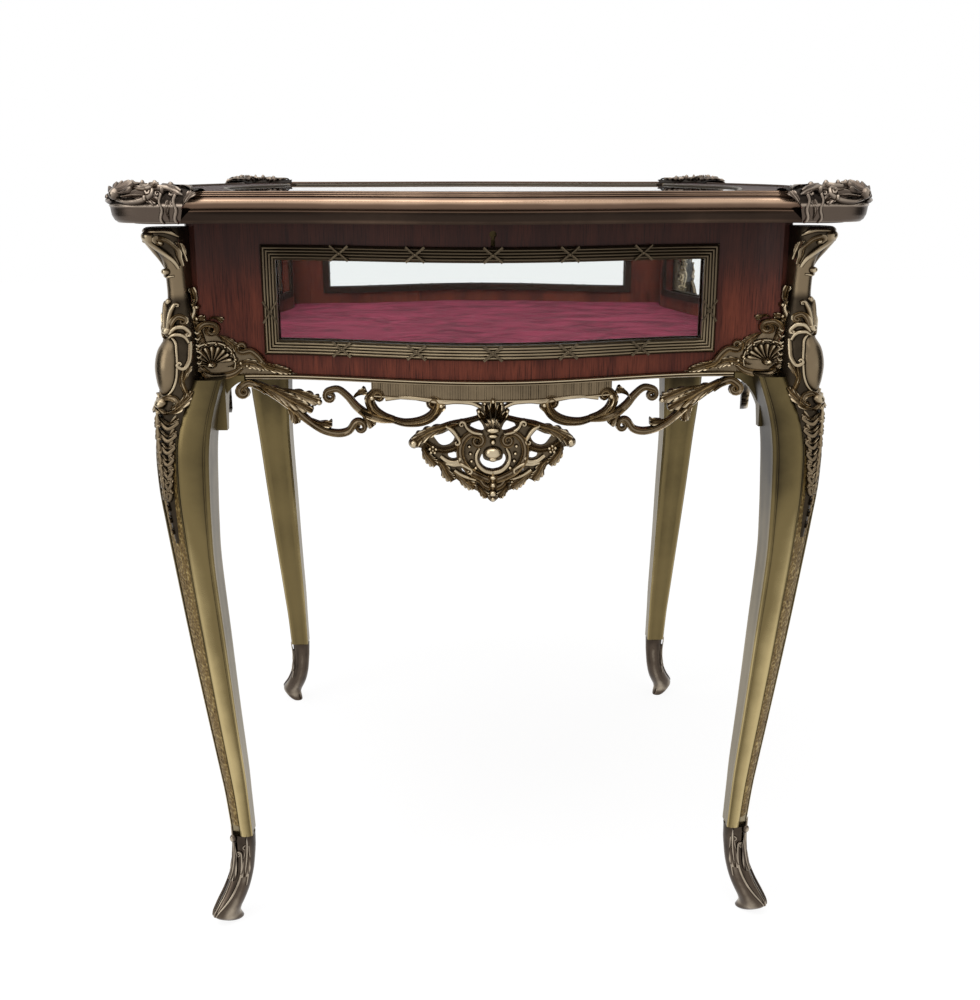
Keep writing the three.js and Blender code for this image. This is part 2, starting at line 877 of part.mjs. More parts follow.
function pendantSolids() {
  const left = placed(pendantEdgeShares, pendantHalfWidth, pendantDrop, -1);
  const right = placed(pendantEdgeShares.slice(1, -1), pendantHalfWidth, pendantDrop).reverse();
  const outline = new THREE.Shape([...left, ...right].map(([x, z]) => new THREE.Vector2(x, z)));
  for (const side of [1, -1]) {
    outline.holes.push(pathOf(placed(wingHoleShares, pendantHalfWidth, pendantDrop, side)));
    outline.holes.push(pathOf(placed(lowerHoleShares, pendantHalfWidth, pendantDrop, side)));
  }
  const nearest = caseHollow - cutOverrun;
  const farthest = caseHollow + caseBow + scrollThickness + cutOverrun;
  const plate = elevationPrism(outline, nearest, farthest).intersect(faceStrip(
    pendantHalfWidth + cutOverrun,
    gap,
    apronThickness,
    legHeight - pendantDrop - cutOverrun,
    legHeight,
  ));
  const solids = [plate];
  const crownHeight = pendantDrop * crownShare;
  for (let flute = -2; flute <= 2; flute += 1) {
    const lean = flute * Math.PI / 9;
    const length = crownHeight * (crownFluteShare - crownTaperShare * Math.abs(flute));
    solids.push(boss(
      Math.sin(lean) * length,
      legHeight - crownHeight + Math.cos(lean) * length,
      scrollThickness / 2,
      length,
      scrollThickness,
      lean,
    ));
  }
  const cabochonHeight = legHeight - pendantDrop * cabochonShare;
  solids.push(boss(0, cabochonHeight, cabochonRadius, cabochonHalfHeight, cabochonHalfHeight));
  for (const side of [1, -1]) {
    const on = (shares) => placed(shares, pendantHalfWidth, pendantDrop, side);
    solids.push(boss(...on([voluteShares])[0], scrollThickness, scrollThickness, voluteRise));
    for (const [shares, widthShares] of [[lyreShares, [1, 1.2, 1, 1]], [wingShares, [1, 1.4, 1.4, 1.8]]]) {
      const widths = widthShares.map((share) => scrollThickness * share);
      solids.push(limb(on(shares), widths, scrollThickness));
    }
  }
  const finial = legHeight - pendantDrop * finialShare;
  solids.push(boss(0, finial, finialHalfWidth, finialHalfHeight, scrollThickness));
  return solids;
}

// Each bottom strip is cast in one with the scroll band that hangs from it
function buildAprons() {
  const strip = faceStrip(
    apronHalfWidth,
    -stripSeat,
    stripProjection,
    legHeight,
    caseBottom - gap,
  );
  const band = faceStrip(
    apronBandHalfWidth,
    gap,
    apronThickness,
    legHeight - apronBandDrop,
    legHeight + stripHeight / 2,
  );
  const plain = union([strip, band, ...scrollBand(1), ...scrollBand(-1)]);
  const hung = union([plain, ...pendantSolids()]);
  for (const [side, turn] of Object.entries(sideTurns)) {
    const whole = side === 'front' || side === 'rear' ? hung : plain;
    show(`${side}_apron`, geometryOf(whole), brass, turn);
  }
}

// Panel end mounts: a leaf along the strip, a fan shell, and a bud up the corner
const spandrelEdgeShares = [
  [0, 0.01],
  [0.3, 0],
  [0.8, 0],
  [0.95, 0.2],
  [0.97, 0.6],
  [1, 0.9],
  [0.95, 1],
  [0.88, 0.85],
  [0.84, 0.62],
  [0.76, 0.46],
  [0.55, 0.34],
  [0.46, 0.3],
  [0.4, 0.12],
  [0.2, 0.1],
];

const shellPlaceShares = [0.86, 0.2];
const shellFlutes = 5;
const shellStart = -Math.PI * 8 / 15;
const shellStep = Math.PI / 6;
const fluteReachShare = 0.55;
const fluteWidthShare = 0.17;
const fluteLengthShare = 0.5;
const budShares = [[0.5, 0.22], [0.9, 0.56]];

function buildSpandrels() {
  const foot = caseBottom + spandrelBase;
  const start = casePlan.centre + spandrelCover - spandrelWidth;
  const at = (across, up) => [start + spandrelWidth * across, foot + spandrelHeight * up];
  const limit = endOf(casePlan).x;
  const frameHalf = sightHalfWidth + frameWidth + gap;
  const frameRoom = box(
    -frameHalf,
    frameHalf,
    -chuteReach,
    -caseHollow + cutOverrun,
    sightFoot - frameWidth - gap,
    sightHead + frameWidth + gap,
  );
  const solidFor = (side) => {
    const outline = new THREE.Shape(spandrelEdgeShares.map(([across, up]) => {
      const [x, z] = at(across, up);
      return new THREE.Vector2(side * x, z);
    }));
    const plate = elevationPrism(outline, caseHollow - cutOverrun, chuteReach + cutOverrun)
      .intersect(faceStrip(limit, gap, apronThickness, foot - cutOverrun, foot + spandrelHeight));
    const solids = [plate];
    const [shellX, shellZ] = at(...shellPlaceShares);
    for (let flute = 0; flute < shellFlutes; flute += 1) {
      const lean = side * (shellStart + flute * shellStep);
      const reach = shellRadius * fluteReachShare;
      solids.push(boss(
        side * shellX + Math.sin(lean) * reach,
        shellZ + Math.cos(lean) * reach,
        shellRadius * fluteWidthShare,
        shellRadius * fluteLengthShare,
        scrollThickness,
        lean,
      ));
    }
    for (const places of budShares) {
      const [x, z] = at(...places);
      solids.push(boss(side * x, z, budSize, budSize, scrollThickness));
    }
    const chute = chuteSolid(gap, side > 0 ? 0 : cornerTurns.front_left);
    return largest(union(solids).subtract(chute).subtract(frameRoom));
  };
  for (const [side, turn] of Object.entries(sideTurns)) {
    show(`${side}_spandrel_right`, geometryOf(solidFor(1)), brass, turn);
    show(`${side}_spandrel_left`, geometryOf(solidFor(-1)), brass, turn);
  }
}

// Lid edge profile as shares of the moulding's width and of the lid's thickness:
// a cove under a fat round, then stepped reeds up to the top
const lidEdgeShares = [
  [-1, 0],
  [-0.5, 0],
  [-0.3, 0.25],
  [0, 0.36],
  [0, 0.58],
  [-0.28, 0.7],
  [-0.66, 1],
  [-1, 1],
];

function buildLid() {
  const edge = lidEdgeShares.map(([outShare, heightShare]) => [
    lidMouldingWidth * outShare,
    lidBottom + lidThickness * heightShare,
  ]);
  const leafRecesses = union(Object.values(hingeCentres).map((centre) => (
    leafRecess(centre, lidBottom - cutOverrun, lidBottom + leafSeat)
  )));
  const moulding = ringMoulding(lidPlan, edge).subtract(leafRecesses);
  show('lid_edge_moulding', geometryOf(moulding), brass);
  const outer = -lidMouldingWidth - gap;
  const woodTop = lidTop - lidFrameDrop;
  const glassSeat = woodTop - glassSink;
  let wood = ringMoulding(lidInnerPlan, [
    [outer, lidBottom, lidPlan],
    [outer, woodTop, lidPlan],
    [glassLedge, woodTop],
    [glassLedge, glassSeat],
    [0, glassSeat],
    [0, lidBottom],
  ]);
  wood = wood.subtract(leafRecesses).subtract(box(
    -linkPlateHalfWidth - gap,
    linkPlateHalfWidth + gap,
    lockFront - gap,
    lockBack + gap,
    lidBottom - cutOverrun,
    lidBottom + leafSeat,
  ));
  show('lid_frame', geometryOf(wood), kingwood);
  const glassBottom = glassSeat + gap;
  const glassTop = glassBottom + lidGlassThickness;
  const glass = loft([
    [glassLedge - gap, glassBottom],
    [glassLedge - gap, glassTop - glassBevelDepth],
    [glassLedge - gap - glassBevelWidth, glassTop],
  ].map(([out, height]) => ringOutline(shifted(lidInnerPlan, out)).map((point) => (
    new THREE.Vector3(point.x, point.y, height)
  ))));
  show('lid_glass', geometryOf(glass), clearGlass);
  const beadFoot = glassTop + gap;
  const bead = ringMoulding(lidInnerPlan, [
    [glassLedge - gap, beadFoot],
    [glassLedge - gap, beadFoot + glassBeadHeight],
    [glassLedge - glassBeadWidth, beadFoot],
  ]);
  show('lid_glass_bead', geometryOf(bead), brass);
}

// Lid corner mounts: a shell of relief wrapped over the corner of the edge moulding
const lidMountRuns = 3;
const lidMountSectionShares = [
  [-1, 0.95],
  [-0.6, 1.1],
  [-0.1, 1.12],
  [0.75, 0.98],
  [1, 0.6],
  [0.8, 0.3],
  [0.3, 0.12],
  [-0.6, 0.12],
];

function buildLidMounts() {
  const corner = new THREE.Vector2(lidPlan.centre, -lidPlan.centre);
  const reach = lidPlan.centre + lidCornerRadius;
  const runs = [];
  for (let i = -lidMountRuns; i <= lidMountRuns; i += 1) {
    const along = Math.abs(i) / lidMountRuns;
    const swell = 1 - along ** 3 / 2;
    const angle = -Math.PI / 4 + Math.sign(i) * Math.min(along * 2, 1) * Math.PI / 4;
    const slide = Math.max(along * 2 - 1, 0) * (lidMountRun - lidCornerRadius);
    const centre = corner.clone();
    if (i > 0) centre.y += slide;
    if (i < 0) centre.x -= slide;
    runs.push(lidMountSectionShares.map(([outShare, heightShare]) => {
      const out = outShare > 0 ? outShare * lidMountProjection * swell : outShare * lidMountCover;
      const radius = lidCornerRadius + out;
      const height = heightShare > 1 ? 1 + (heightShare - 1) * swell : heightShare;
      return new THREE.Vector3(
        centre.x + radius * Math.cos(angle),
        centre.y + radius * Math.sin(angle),
        lidBottom + lidThickness * height,
      );
    }));
  }
  const solids = [loft(runs)];
  const knob = (x, y, z, sizeX, sizeY, sizeZ) => {
    const geometry = new THREE.SphereGeometry(1, 6, 4).rotateX(Math.PI / 2);
    return solidOf(geometry.scale(sizeX, sizeY, sizeZ).translate(x, y, z));
  };
  const high = lidTop + lidMountRise / 3;
  const half = lidMountRise * 2 / 3;
  const middle = reach - lidCornerRadius / 2;
  solids.push(knob(middle, -middle, high, lidMountCover / 2, lidMountCover / 2, half));
  const far = reach - lidMountRun + lidMountCover / 3;
  const side = reach - lidMountCover / 3;
  solids.push(knob(far, -side, high, lidMountCover / 3, lidMountCover / 2, half));
  solids.push(knob(side, -far, high, lidMountCover / 2, lidMountCover / 3, half));
  const envelope = ringMoulding(lidPlan, [
    [gap, lidBottom],
    [gap, lidTop + gap],
    [-lidMountCover - cutOverrun, lidTop + gap],
    [-lidMountCover - cutOverrun, lidBottom],
  ]);
  const mount = largest(union(solids).subtract(envelope));
  for (const [name, turn] of Object.entries(cornerTurns)) {
    show(`lid_corner_mount_${name}`, geometryOf(mount), brass, turn);
  }
}

function buildHinges() {
  const leafTop = caseTop - leafSeat + gap + leafThickness;
  const lidLeafBottom = lidBottom + gap;
  for (const [name, centre] of Object.entries(hingeCentres)) {
    const x0 = centre - hingeWidth / 2;
    const x1 = x0 + hingeWidth;
    const third = hingeWidth / 3;
    const front = hingeAxis - leafLength;
    const barrel = (radius, start, end) => rod(radius, start, end, hingeAxis, hingeAxisHeight);
    const bore = barrel(pinRadius + gap, x0 - cutOverrun, x1 + cutOverrun);
    const leafEnd = hingeAxis - knuckleRadius - gap;
    const fixed = [box(x0, x1, front, leafEnd, leafTop - leafThickness, leafTop)];
    for (const start of [x0, x0 + 2 * third + gap]) {
      const end = start + third - gap;
      const near = hingeAxis - knuckleRadius * 2;
      fixed.push(barrel(knuckleRadius, start, end));
      fixed.push(box(start, end, near, hingeAxis - pinRadius - gap, hingeAxisHeight, leafTop));
    }
    show(`hinge_fixed_leaf_${name}`, geometryOf(union(fixed).subtract(bore)), darkBrass);
    const liftTop = lidLeafBottom + leafThickness;
    const neckStart = x0 + third + gap / 2;
    const neckEnd = x0 + 2 * third - gap / 2;
    const lift = box(x0, x1, front, hingeAxis + knuckleRadius, lidLeafBottom, liftTop);
    const neck = box(
      neckStart,
      neckEnd,
      hingeAxis - knuckleRadius,
      hingeAxis + knuckleRadius,
      hingeAxisHeight,
      lidLeafBottom + leafThickness / 2,
    );
    const moving = union([lift, barrel(knuckleRadius, neckStart, neckEnd), neck]);
    show(`hinge_lid_leaf_${name}`, geometryOf(moving.subtract(bore)), darkBrass);
    const headStart = x0 - gap - pinHeadLength;
    const headEnd = x1 + gap + pinHeadLength;
    const pin = [
      barrel(pinRadius, headStart, headEnd),
      barrel(pinHeadRadius, headStart, x0 - gap),
      barrel(pinHeadRadius, x1 + gap, headEnd),
    ];
    show(`hinge_pin_${name}`, geometryOf(union(pin)), steel);
  }
}

// A box lock behind the front rail, whose bolt slides through the lid's loop
function buildLock() {
  const cavity = box(
    -lockHalfWidth + lockWall,
    lockHalfWidth - lockWall,
    lockFront + lockWall,
    lockBack - lockWall,
    lockBottom + lockWall,
    caseTop - lockWall,
  );
  const slot = box(
    -tongueThickness - gap,
    tongueThickness + gap,
    lockMiddle - tongueWidth / 2 - gap,
    lockMiddle + tongueWidth / 2 + gap,
    caseTop - lockWall * 2,
    caseTop + cutOverrun,
  );
  const lockCase = box(-lockHalfWidth, lockHalfWidth, lockFront, lockBack, lockBottom, caseTop)
    .subtract(cavity)
    .subtract(slot)
    .subtract(keyholeCut(-lockMiddle, -lockFront + cutOverrun));
  show('lock_case', geometryOf(lockCase), darkBrass);
  const tailStart = -lockHalfWidth + lockWall + gap;
  const noseStart = tailStart + boltTailLength;
  const boltFoot = lockBottom + lockWall + gap;
  const loopFoot = lidBottom - tongueDrop + lockWall;
  const noseFoot = loopFoot + (loopHeight - boltHeight) / 2;
  const bolt = union([
    box(
      tailStart,
      noseStart,
      lockFront + lockWall + gap,
      lockBack - lockWall - gap,
      boltFoot,
      noseFoot + boltHeight,
    ),
    box(
      noseStart - cutOverrun,
      noseStart + boltNoseLength,
      lockMiddle - boltThickness / 2,
      lockMiddle + boltThickness / 2,
      noseFoot,
      noseFoot + boltHeight,
    ),
  ]);
  show('lock_bolt', geometryOf(bolt), steel);
  const loop = box(
    -tongueThickness,
    tongueThickness,
    lockMiddle - loopWidth / 2,
    lockMiddle + loopWidth / 2,
    loopFoot,
    loopFoot + loopHeight,
  );
  const plate = box(
    -linkPlateHalfWidth,
    linkPlateHalfWidth,
    lockFront,
    lockBack,
    lidBottom + gap,
    lidBottom + gap + leafThickness,
  );
  const tongue = box(
    -tongueThickness / 2,
    tongueThickness / 2,
    lockMiddle - tongueWidth / 2,
    lockMiddle + tongueWidth / 2,
    lidBottom - tongueDrop,
    lidBottom + leafThickness,
  );
  show('lock_link_plate', geometryOf(plate.add(tongue).subtract(loop)), darkBrass);
}

buildPanels();
buildGlazing();
buildCaseBottom();
buildLegs();
buildChutes();
buildAprons();
buildSpandrels();
buildLid();
buildLidMounts();
buildHinges();
buildLock();

export default table;
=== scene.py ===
# A square display table on four cast cabriole legs: a glazed serpentine case lined
# with velvet, cast and pierced mounts, and a hinged glass lid. Metres, +Z up, the
# front with the keyhole faces -Y.
import math

import bmesh
import bpy
import numpy as np
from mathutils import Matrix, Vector
from mathutils.geometry import delaunay_2d_cdt


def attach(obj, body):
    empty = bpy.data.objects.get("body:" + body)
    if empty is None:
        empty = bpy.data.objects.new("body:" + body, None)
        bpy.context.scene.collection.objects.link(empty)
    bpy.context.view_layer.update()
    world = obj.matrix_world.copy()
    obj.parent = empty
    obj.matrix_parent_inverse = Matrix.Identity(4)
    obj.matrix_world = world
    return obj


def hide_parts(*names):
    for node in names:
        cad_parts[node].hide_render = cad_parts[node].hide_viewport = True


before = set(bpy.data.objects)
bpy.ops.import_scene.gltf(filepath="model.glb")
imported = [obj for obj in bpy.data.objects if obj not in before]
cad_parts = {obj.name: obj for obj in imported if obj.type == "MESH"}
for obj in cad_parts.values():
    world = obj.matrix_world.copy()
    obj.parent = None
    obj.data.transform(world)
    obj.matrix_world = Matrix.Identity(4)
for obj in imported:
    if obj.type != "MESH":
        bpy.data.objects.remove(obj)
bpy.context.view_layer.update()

mm = 0.001
root_two = math.sqrt(2)
eighth = math.pi / 4

# Heights and plans, the same as the solids'
leg_top = 0.5827
case_bottom, case_top = 0.583, 0.723
lid_bottom, glass_rebate, lid_frame_top = 0.724, 0.744, 0.750
case_plan = {"hollow": 0.260, "bow": 0.047, "hollow_at": 0.228,
             "centre": 0.270, "radius": 0.010, "tilt": eighth}
lid_plan = {"hollow": 0.318, "bow": 0.034, "hollow_at": 0.232,
            "centre": 0.300, "radius": 0.030, "tilt": math.pi / 9}
wall = 0.014
inside_plan = {**case_plan, "hollow": case_plan["hollow"] - wall, "centre": 0.253,
               "radius": 0.002}
lid_opening_plan = {**case_plan, "hollow": 0.241, "bow": 0.038, "centre": 0.251}
sight_half, sight_bottom, sight_top = 0.200, 0.615, 0.689
frame_width = 0.014
pane_edge, pane_thickness, pane_setback = 0.0037, 0.003, 0.001
fit = 0.0003

side_turns = {"front": 0.0, "right": math.pi / 2, "rear": math.pi, "left": -math.pi / 2}
corner_turns = dict(zip(("front_right", "rear_right", "rear_left", "front_left"),
                        side_turns.values()))


# Plan curves

def face_end(plan):
    return (plan["centre"] - plan["radius"] * math.sin(plan["tilt"]),
            plan["centre"] + plan["radius"] * math.cos(plan["tilt"]))


def face_reach(plan, across):
    """How far a serpentine face stands from the middle, along the face and its corner."""
    run = np.abs(across)
    end_x, end_y = face_end(plan)
    bowed = plan["hollow"] + plan["bow"] * (1 + np.cos(np.pi * run / plan["hollow_at"])) / 2
    share = np.clip((run - plan["hollow_at"]) / (end_x - plan["hollow_at"]), 0, 1)
    flared = plan["hollow"] + (end_y - plan["hollow"]) * share ** 2
    inside = np.clip(plan["radius"] ** 2 - (run - plan["centre"]) ** 2, 0, None)
    rounded_off = plan["centre"] + np.sqrt(inside)
    return np.where(run <= plan["hollow_at"], bowed, np.where(run <= end_x, flared, rounded_off))


def turned(points, turn):
    """Points turned about the upright through the middle of the table."""
    points = np.array(points, float)
    x, y = points[..., 0].copy(), points[..., 1].copy()
    points[..., 0] = math.cos(turn) * x - math.sin(turn) * y
    points[..., 1] = math.sin(turn) * x + math.cos(turn) * y
    return points


def ring_line(plan, out=0.0, face_steps=64, corner_steps=9):
    """The whole plan as a closed ring at one level, side after side."""
    plan = {**plan, "hollow": plan["hollow"] + out, "centre": plan["centre"] + out}
    end_x, _ = face_end(plan)
    angles = np.linspace(eighth, -plan["tilt"], corner_steps)[:-1]
    left = np.stack([-(plan["centre"] + plan["radius"] * np.sin(angles)),
                     -(plan["centre"] + plan["radius"] * np.cos(angles))], 1)
    across = np.linspace(-end_x, end_x, face_steps + 1)
    face = np.stack([across, -face_reach(plan, across)], 1)
    side = np.vstack([left, face, left[:0:-1] * [-1, 1]])
    return np.vstack([turned(side, turn) for turn in side_turns.values()])


# Meshes

def faced_outward(mesh, join=None):
    """Turns the faces outward, once any points within join of each other are joined."""
    work = bmesh.new()
    work.from_mesh(mesh)
    if join:
        bmesh.ops.remove_doubles(work, verts=work.verts, dist=join)
    bmesh.ops.recalc_face_normals(work, faces=work.faces)
    work.to_mesh(mesh)
    work.free()


crease_degrees = 40


class Casting:
    """A mesh in the making. Its lay puts (across, up, proud) on the object."""

    def __init__(self, lay=None):
        self.lay = lay
        self.places, self.faces, self.heights = [], [], []
        self.count = 0

    def add(self, places, faces, height):
        """Adds points with their height for the patina, and faces counted from the first."""
        self.faces += [[int(number) + self.count for number in face] for face in faces]
        self.places.append(places.reshape(-1, 3))
        self.heights.append(np.broadcast_to(height, places.shape[:-1]).reshape(-1))
        self.count += places.size // 3

    def grid(self, places, height, around=False, capped=False):
        """Adds a grid of places; around joins its last column to the first."""
        number = np.arange(places.size // 3).reshape(places.shape[:2])
        following = np.roll(number, -1, axis=1) if around else number[:, 1:]
        first = number if around else number[:, :-1]
        quads = np.stack([first[:-1], following[:-1], following[1:], first[1:]], -1)
        ends = [number[0, ::-1].tolist(), number[-1].tolist()] if capped else []
        self.add(places, quads.reshape(-1, 4).tolist() + ends, height)

    def laid(self, across, up, proud, height, around=False, capped=False):
        """Adds a grid given in the lay's own terms."""
        across, up, proud = np.broadcast_arrays(across, up, proud)
        self.grid(self.lay(across, up, proud), height, around, capped)

    def mesh(self, name, turn=0.0):
        mesh = bpy.data.meshes.new(name)
        mesh.from_pydata(turned(np.vstack(self.places), turn).tolist(), [], self.faces)
        heights = mesh.attributes.new("height", "FLOAT", "POINT")
        heights.data.foreach_set("value", np.concatenate(self.heights).astype(np.float32))
        faced_outward(mesh)
        return mesh

    def part(self, name, material, body, nodes, slot, turn=0.0, crease=crease_degrees):
        """Makes a piece that rides on a body and stands for its nodes; slot is not used."""
        mesh = self.mesh(name, turn)
        mesh.shade_smooth()
        mesh.set_sharp_from_angle(angle=math.radians(crease))
        mesh.materials.append(material)
        piece = bpy.data.objects.new(name, mesh)
        bpy.context.scene.collection.objects.link(piece)
        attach(piece, body)
        if nodes:
            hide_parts(*nodes)
        return piece


def cut_by(piece, casting):
    """Cuts a piece for good with a casting."""
    cutter = bpy.data.objects.new("cutter", casting.mesh("cutter"))
    bpy.context.scene.collection.objects.link(cutter)
    modifier = piece.modifiers.new("cut", "BOOLEAN")
    modifier.operation = "DIFFERENCE"
    modifier.object = cutter
    shown = piece.evaluated_get(bpy.context.evaluated_depsgraph_get())
    cut = bpy.data.meshes.new_from_object(shown)
    piece.modifiers.clear()
    cut.set_sharp_from_angle(angle=math.radians(crease_degrees))
    piece.data = cut
    bpy.data.objects.remove(cutter)


def on_face(across, up, proud):
    """Lays work on the front of the case."""
    return np.stack([across, -(face_reach(case_plan, across) + proud), up], -1)


def on_diagonal(out, along, up):
    """Places given by their reach along the front right diagonal and across it."""
    return np.stack([(out + along) / root_two, (along - out) / root_two,
                     np.broadcast_to(up, out.shape)], -1)


def path_length(points):
    return np.sum(np.linalg.norm(np.diff(np.asarray(points, float), axis=0), axis=1))


def even_path(points, count):
    """A smooth curve through the points, cut into even steps."""
    points = np.asarray(points, float)
    ends = np.vstack([2 * points[0] - points[1], points, 2 * points[-1] - points[-2]])
    t = np.linspace(0, 1, 14, endpoint=False)[:, None]
    fine = []
    for a, b, c, d in zip(ends, ends[1:], ends[2:], ends[3:]):
        fine.append(0.5 * (2 * b + (c - a) * t + (2 * a - 5 * b + 4 * c - d) * t ** 2
                           + (3 * b - a - 3 * c + d) * t ** 3))
    fine = np.vstack(fine + [points[-1:]])
    along = np.concatenate([[0], np.cumsum(np.linalg.norm(np.diff(fine, axis=0), axis=1))])
    steps = np.linspace(0, along[-1], count)
    return np.stack([np.interp(steps, along, fine[:, k]) for k in range(fine.shape[1])], 1)


def with_volute(points, hand, radius, turns):
    """The points with a volute wound on after the last: hand 1 to the left, -1 right."""
    points = [np.asarray(point, float) for point in points]
    heading = points[-1] - points[-2]
    heading /= np.linalg.norm(heading)
    inward = hand * np.array([-heading[1], heading[0]])
    eye = points[-1] + inward * radius
    start = math.atan2(-inward[1], -inward[0])
    steps_in_turn, drawn_in = 9, 0.72
    count = int(turns * steps_in_turn)
    for share in np.arange(1, count + 1) / count:
        angle = start + hand * 2 * math.pi * turns * share
        reach = radius * (1 - drawn_in * share)
        points.append(eye + reach * np.array([math.cos(angle), math.sin(angle)]))
    return points


def normals_of(path):
    ahead = np.gradient(path, axis=0)
    ahead /= np.linalg.norm(ahead, axis=1, keepdims=True) + 1e-12
    return np.stack([-ahead[:, 1], ahead[:, 0]], 1)


# Sections of the cast limbs: across share, rise share, and how polished they are
reeded = np.array([
    (-1, 0, 0.05), (-0.93, 0.5, 0.5), (-0.72, 0.72, 0.9), (-0.5, 0.45, 0.32),
    (-0.28, 0.72, 0.6), (0, 1, 0.95), (0.28, 0.72, 0.6), (0.5, 0.45, 0.32),
    (0.72, 0.72, 0.9), (0.93, 0.5, 0.5), (1, 0, 0.05)])
hollow = np.array([
    (-1, 0, 0.05), (-0.92, 0.7, 0.7), (-0.74, 1, 1), (-0.5, 0.75, 0.7), (-0.15, 0.45, 0.38),
    (0.25, 0.42, 0.4), (0.55, 0.6, 0.6), (0.76, 0.76, 0.9), (0.92, 0.5, 0.6), (1, 0, 0.05)])
rounded = np.array([
    (-1, 0, 0.1), (-0.88, 0.48, 0.3), (-0.6, 0.82, 0.6), (-0.25, 0.98, 0.84),
    (0.25, 0.98, 0.84), (0.6, 0.82, 0.6), (0.88, 0.48, 0.3), (1, 0, 0.1)])
dull = rounded * [1, 1, 0.68]
ribbon = np.array([
    (-1, 0, 0.1), (-0.9, 0.85, 0.6), (-0.7, 1, 0.7), (-0.3, 0.7, 0.4), (0.3, 0.7, 0.4),
    (0.7, 1, 0.7), (0.9, 0.85, 0.6), (1, 0, 0.1)])


class Relief:
    """Ornament for one half of a casting, in millimetres. Way mirrors it, seat is where
    its faces start, and back is how far they go on behind that."""

    def __init__(self, casting, way=1, seat=0.0, back=1.0):
        self.casting, self.way, self.seat, self.back = casting, way, seat * mm, back * mm

    def at(self, points):
        return [(self.way * x * mm, z * mm) for x, z in points]

    def spread(self, widths, count):
        """Half widths in metres, spread along a path of so many steps."""
        place = np.linspace(0, 1, count)
        return np.interp(place, np.linspace(0, 1, len(widths)), np.array(widths) * mm) / 2

    def stem(self, points, widths, rise, section=hollow, curl=None):
        """A cast limb along a path. Curl winds a volute on its end: hand, radius, turns."""
        points = self.at(points)
        if curl:
            hand, radius, turns = curl
            points = with_volute(points, self.way * hand, radius * mm, turns)
        step = 0.0016
        path = even_path(points, max(int(path_length(points) / step), 6))
        normal = normals_of(path)
        half = self.spread(widths, len(path))
        across, lift, shine = section.T
        lifts = rise * mm * np.sqrt(half / half.max())[:, None] * lift
        across = np.concatenate([across, [1, -1]])
        behind = np.full((len(path), 2), self.seat - self.back)
        shine = np.concatenate([shine, [0.2, 0.2]])
        x = path[:, :1] + normal[:, :1] * half[:, None] * across
        z = path[:, 1:] + normal[:, 1:] * half[:, None] * across
        self.casting.laid(x, z, np.hstack([self.seat + lifts, behind]), shine[None, :],
                          around=True, capped=True)

    def leaf(self, points, widths, rise, lobes=5):
        """An acanthus leaf along a path: cut lobes that sweep forward from a raised rib."""
        count = max(lobes, 2) * 9 + 1
        path = even_path(self.at(points), count)
        place = np.linspace(0, 1, count)
        grid_place, grid_side = np.meshgrid(place, np.linspace(-1, 1, 17), indexing="ij")
        reach = np.abs(grid_side)
        notch = 1 - np.abs(np.sin(np.pi * lobes * grid_place)) ** 0.8 if lobes > 1 else 0 * reach
        half = self.spread(widths, count)
        spread = grid_side * half[:, None] * (1 - 0.45 * notch * reach ** 2)
        sweep = reach ** 1.4 * 1.5 / max(lobes, 3) * (1 - grid_place ** 3)
        slid = np.clip(grid_place + sweep, 0, 1)
        normal = normals_of(path)
        x = np.interp(slid, place, path[:, 0]) + normal[:, :1] * spread
        z = np.interp(slid, place, path[:, 1]) + normal[:, 1:] * spread
        crown = np.interp(reach, [0, 0.12, 0.27, 0.6, 0.86, 1.0],
                          [1.0, 0.75, 0.35, 0.72, 0.9, 0.3])
        form = crown * (1 - 0.75 * notch * reach ** 1.8)
        proud = self.seat + rise * mm * (0.15 + 0.85 * form) * (1 - 0.25 * grid_place)
        height = np.clip(0.05 + 1.05 * form ** 1.3, 0, 1)
        edge = np.full((count, 2), self.seat - self.back)
        self.casting.laid(np.hstack([x, x[:, -1:], x[:, :1]]), np.hstack([z, z[:, -1:], z[:, :1]]),
                          np.hstack([proud, edge]), np.hstack([height, np.full((count, 2), 0.05)]),
                          around=True, capped=True)

    def boss(self, x, z, half_width, rise, half_height=None, sides=16, rings=6, polish=0.85):
        """A domed boss."""
        angle = np.linspace(0, 2 * np.pi, sides, endpoint=False)
        spread = np.cos(np.linspace(0, np.pi / 2 * 0.97, rings))[:, None]
        lift = np.sin(np.linspace(0, np.pi / 2, rings))[:, None]
        across = self.way * x + half_width * np.cos(angle) * spread
        up = z + (half_height or half_width) * np.sin(angle) * spread
        self.casting.laid(across * mm, up * mm, self.seat + rise * mm * lift,
                          0.12 + polish * lift, around=True, capped=True)

    def shell(self, x, z, radius, rise, start, end, flutes):
        """A fan shell: flutes that spread from its hinge, with a scalloped rim."""
        count = flutes * 8 + 1
        angle = self.way * np.linspace(start, end, count)
        beat = np.abs(np.sin(np.pi * np.linspace(0, flutes, count)))
        spread = np.array([0.1, 0.25, 0.45, 0.65, 0.82, 0.93, 1.0, 1.0])[:, None]
        reach = spread * radius * (0.86 + 0.14 * beat ** 0.7)
        dish = np.array([0.9, 0.6, 0.5, 0.62, 0.85, 0.9, 0.5, -0.1])[:, None]
        proud = self.seat + rise * mm * dish * (0.45 + 0.55 * beat)
        self.casting.laid((self.way * x + reach * np.sin(angle)) * mm,
                          (z + reach * np.cos(angle)) * mm, proud,
                          np.clip(dish, 0, 1) * (0.1 + 0.9 * beat))


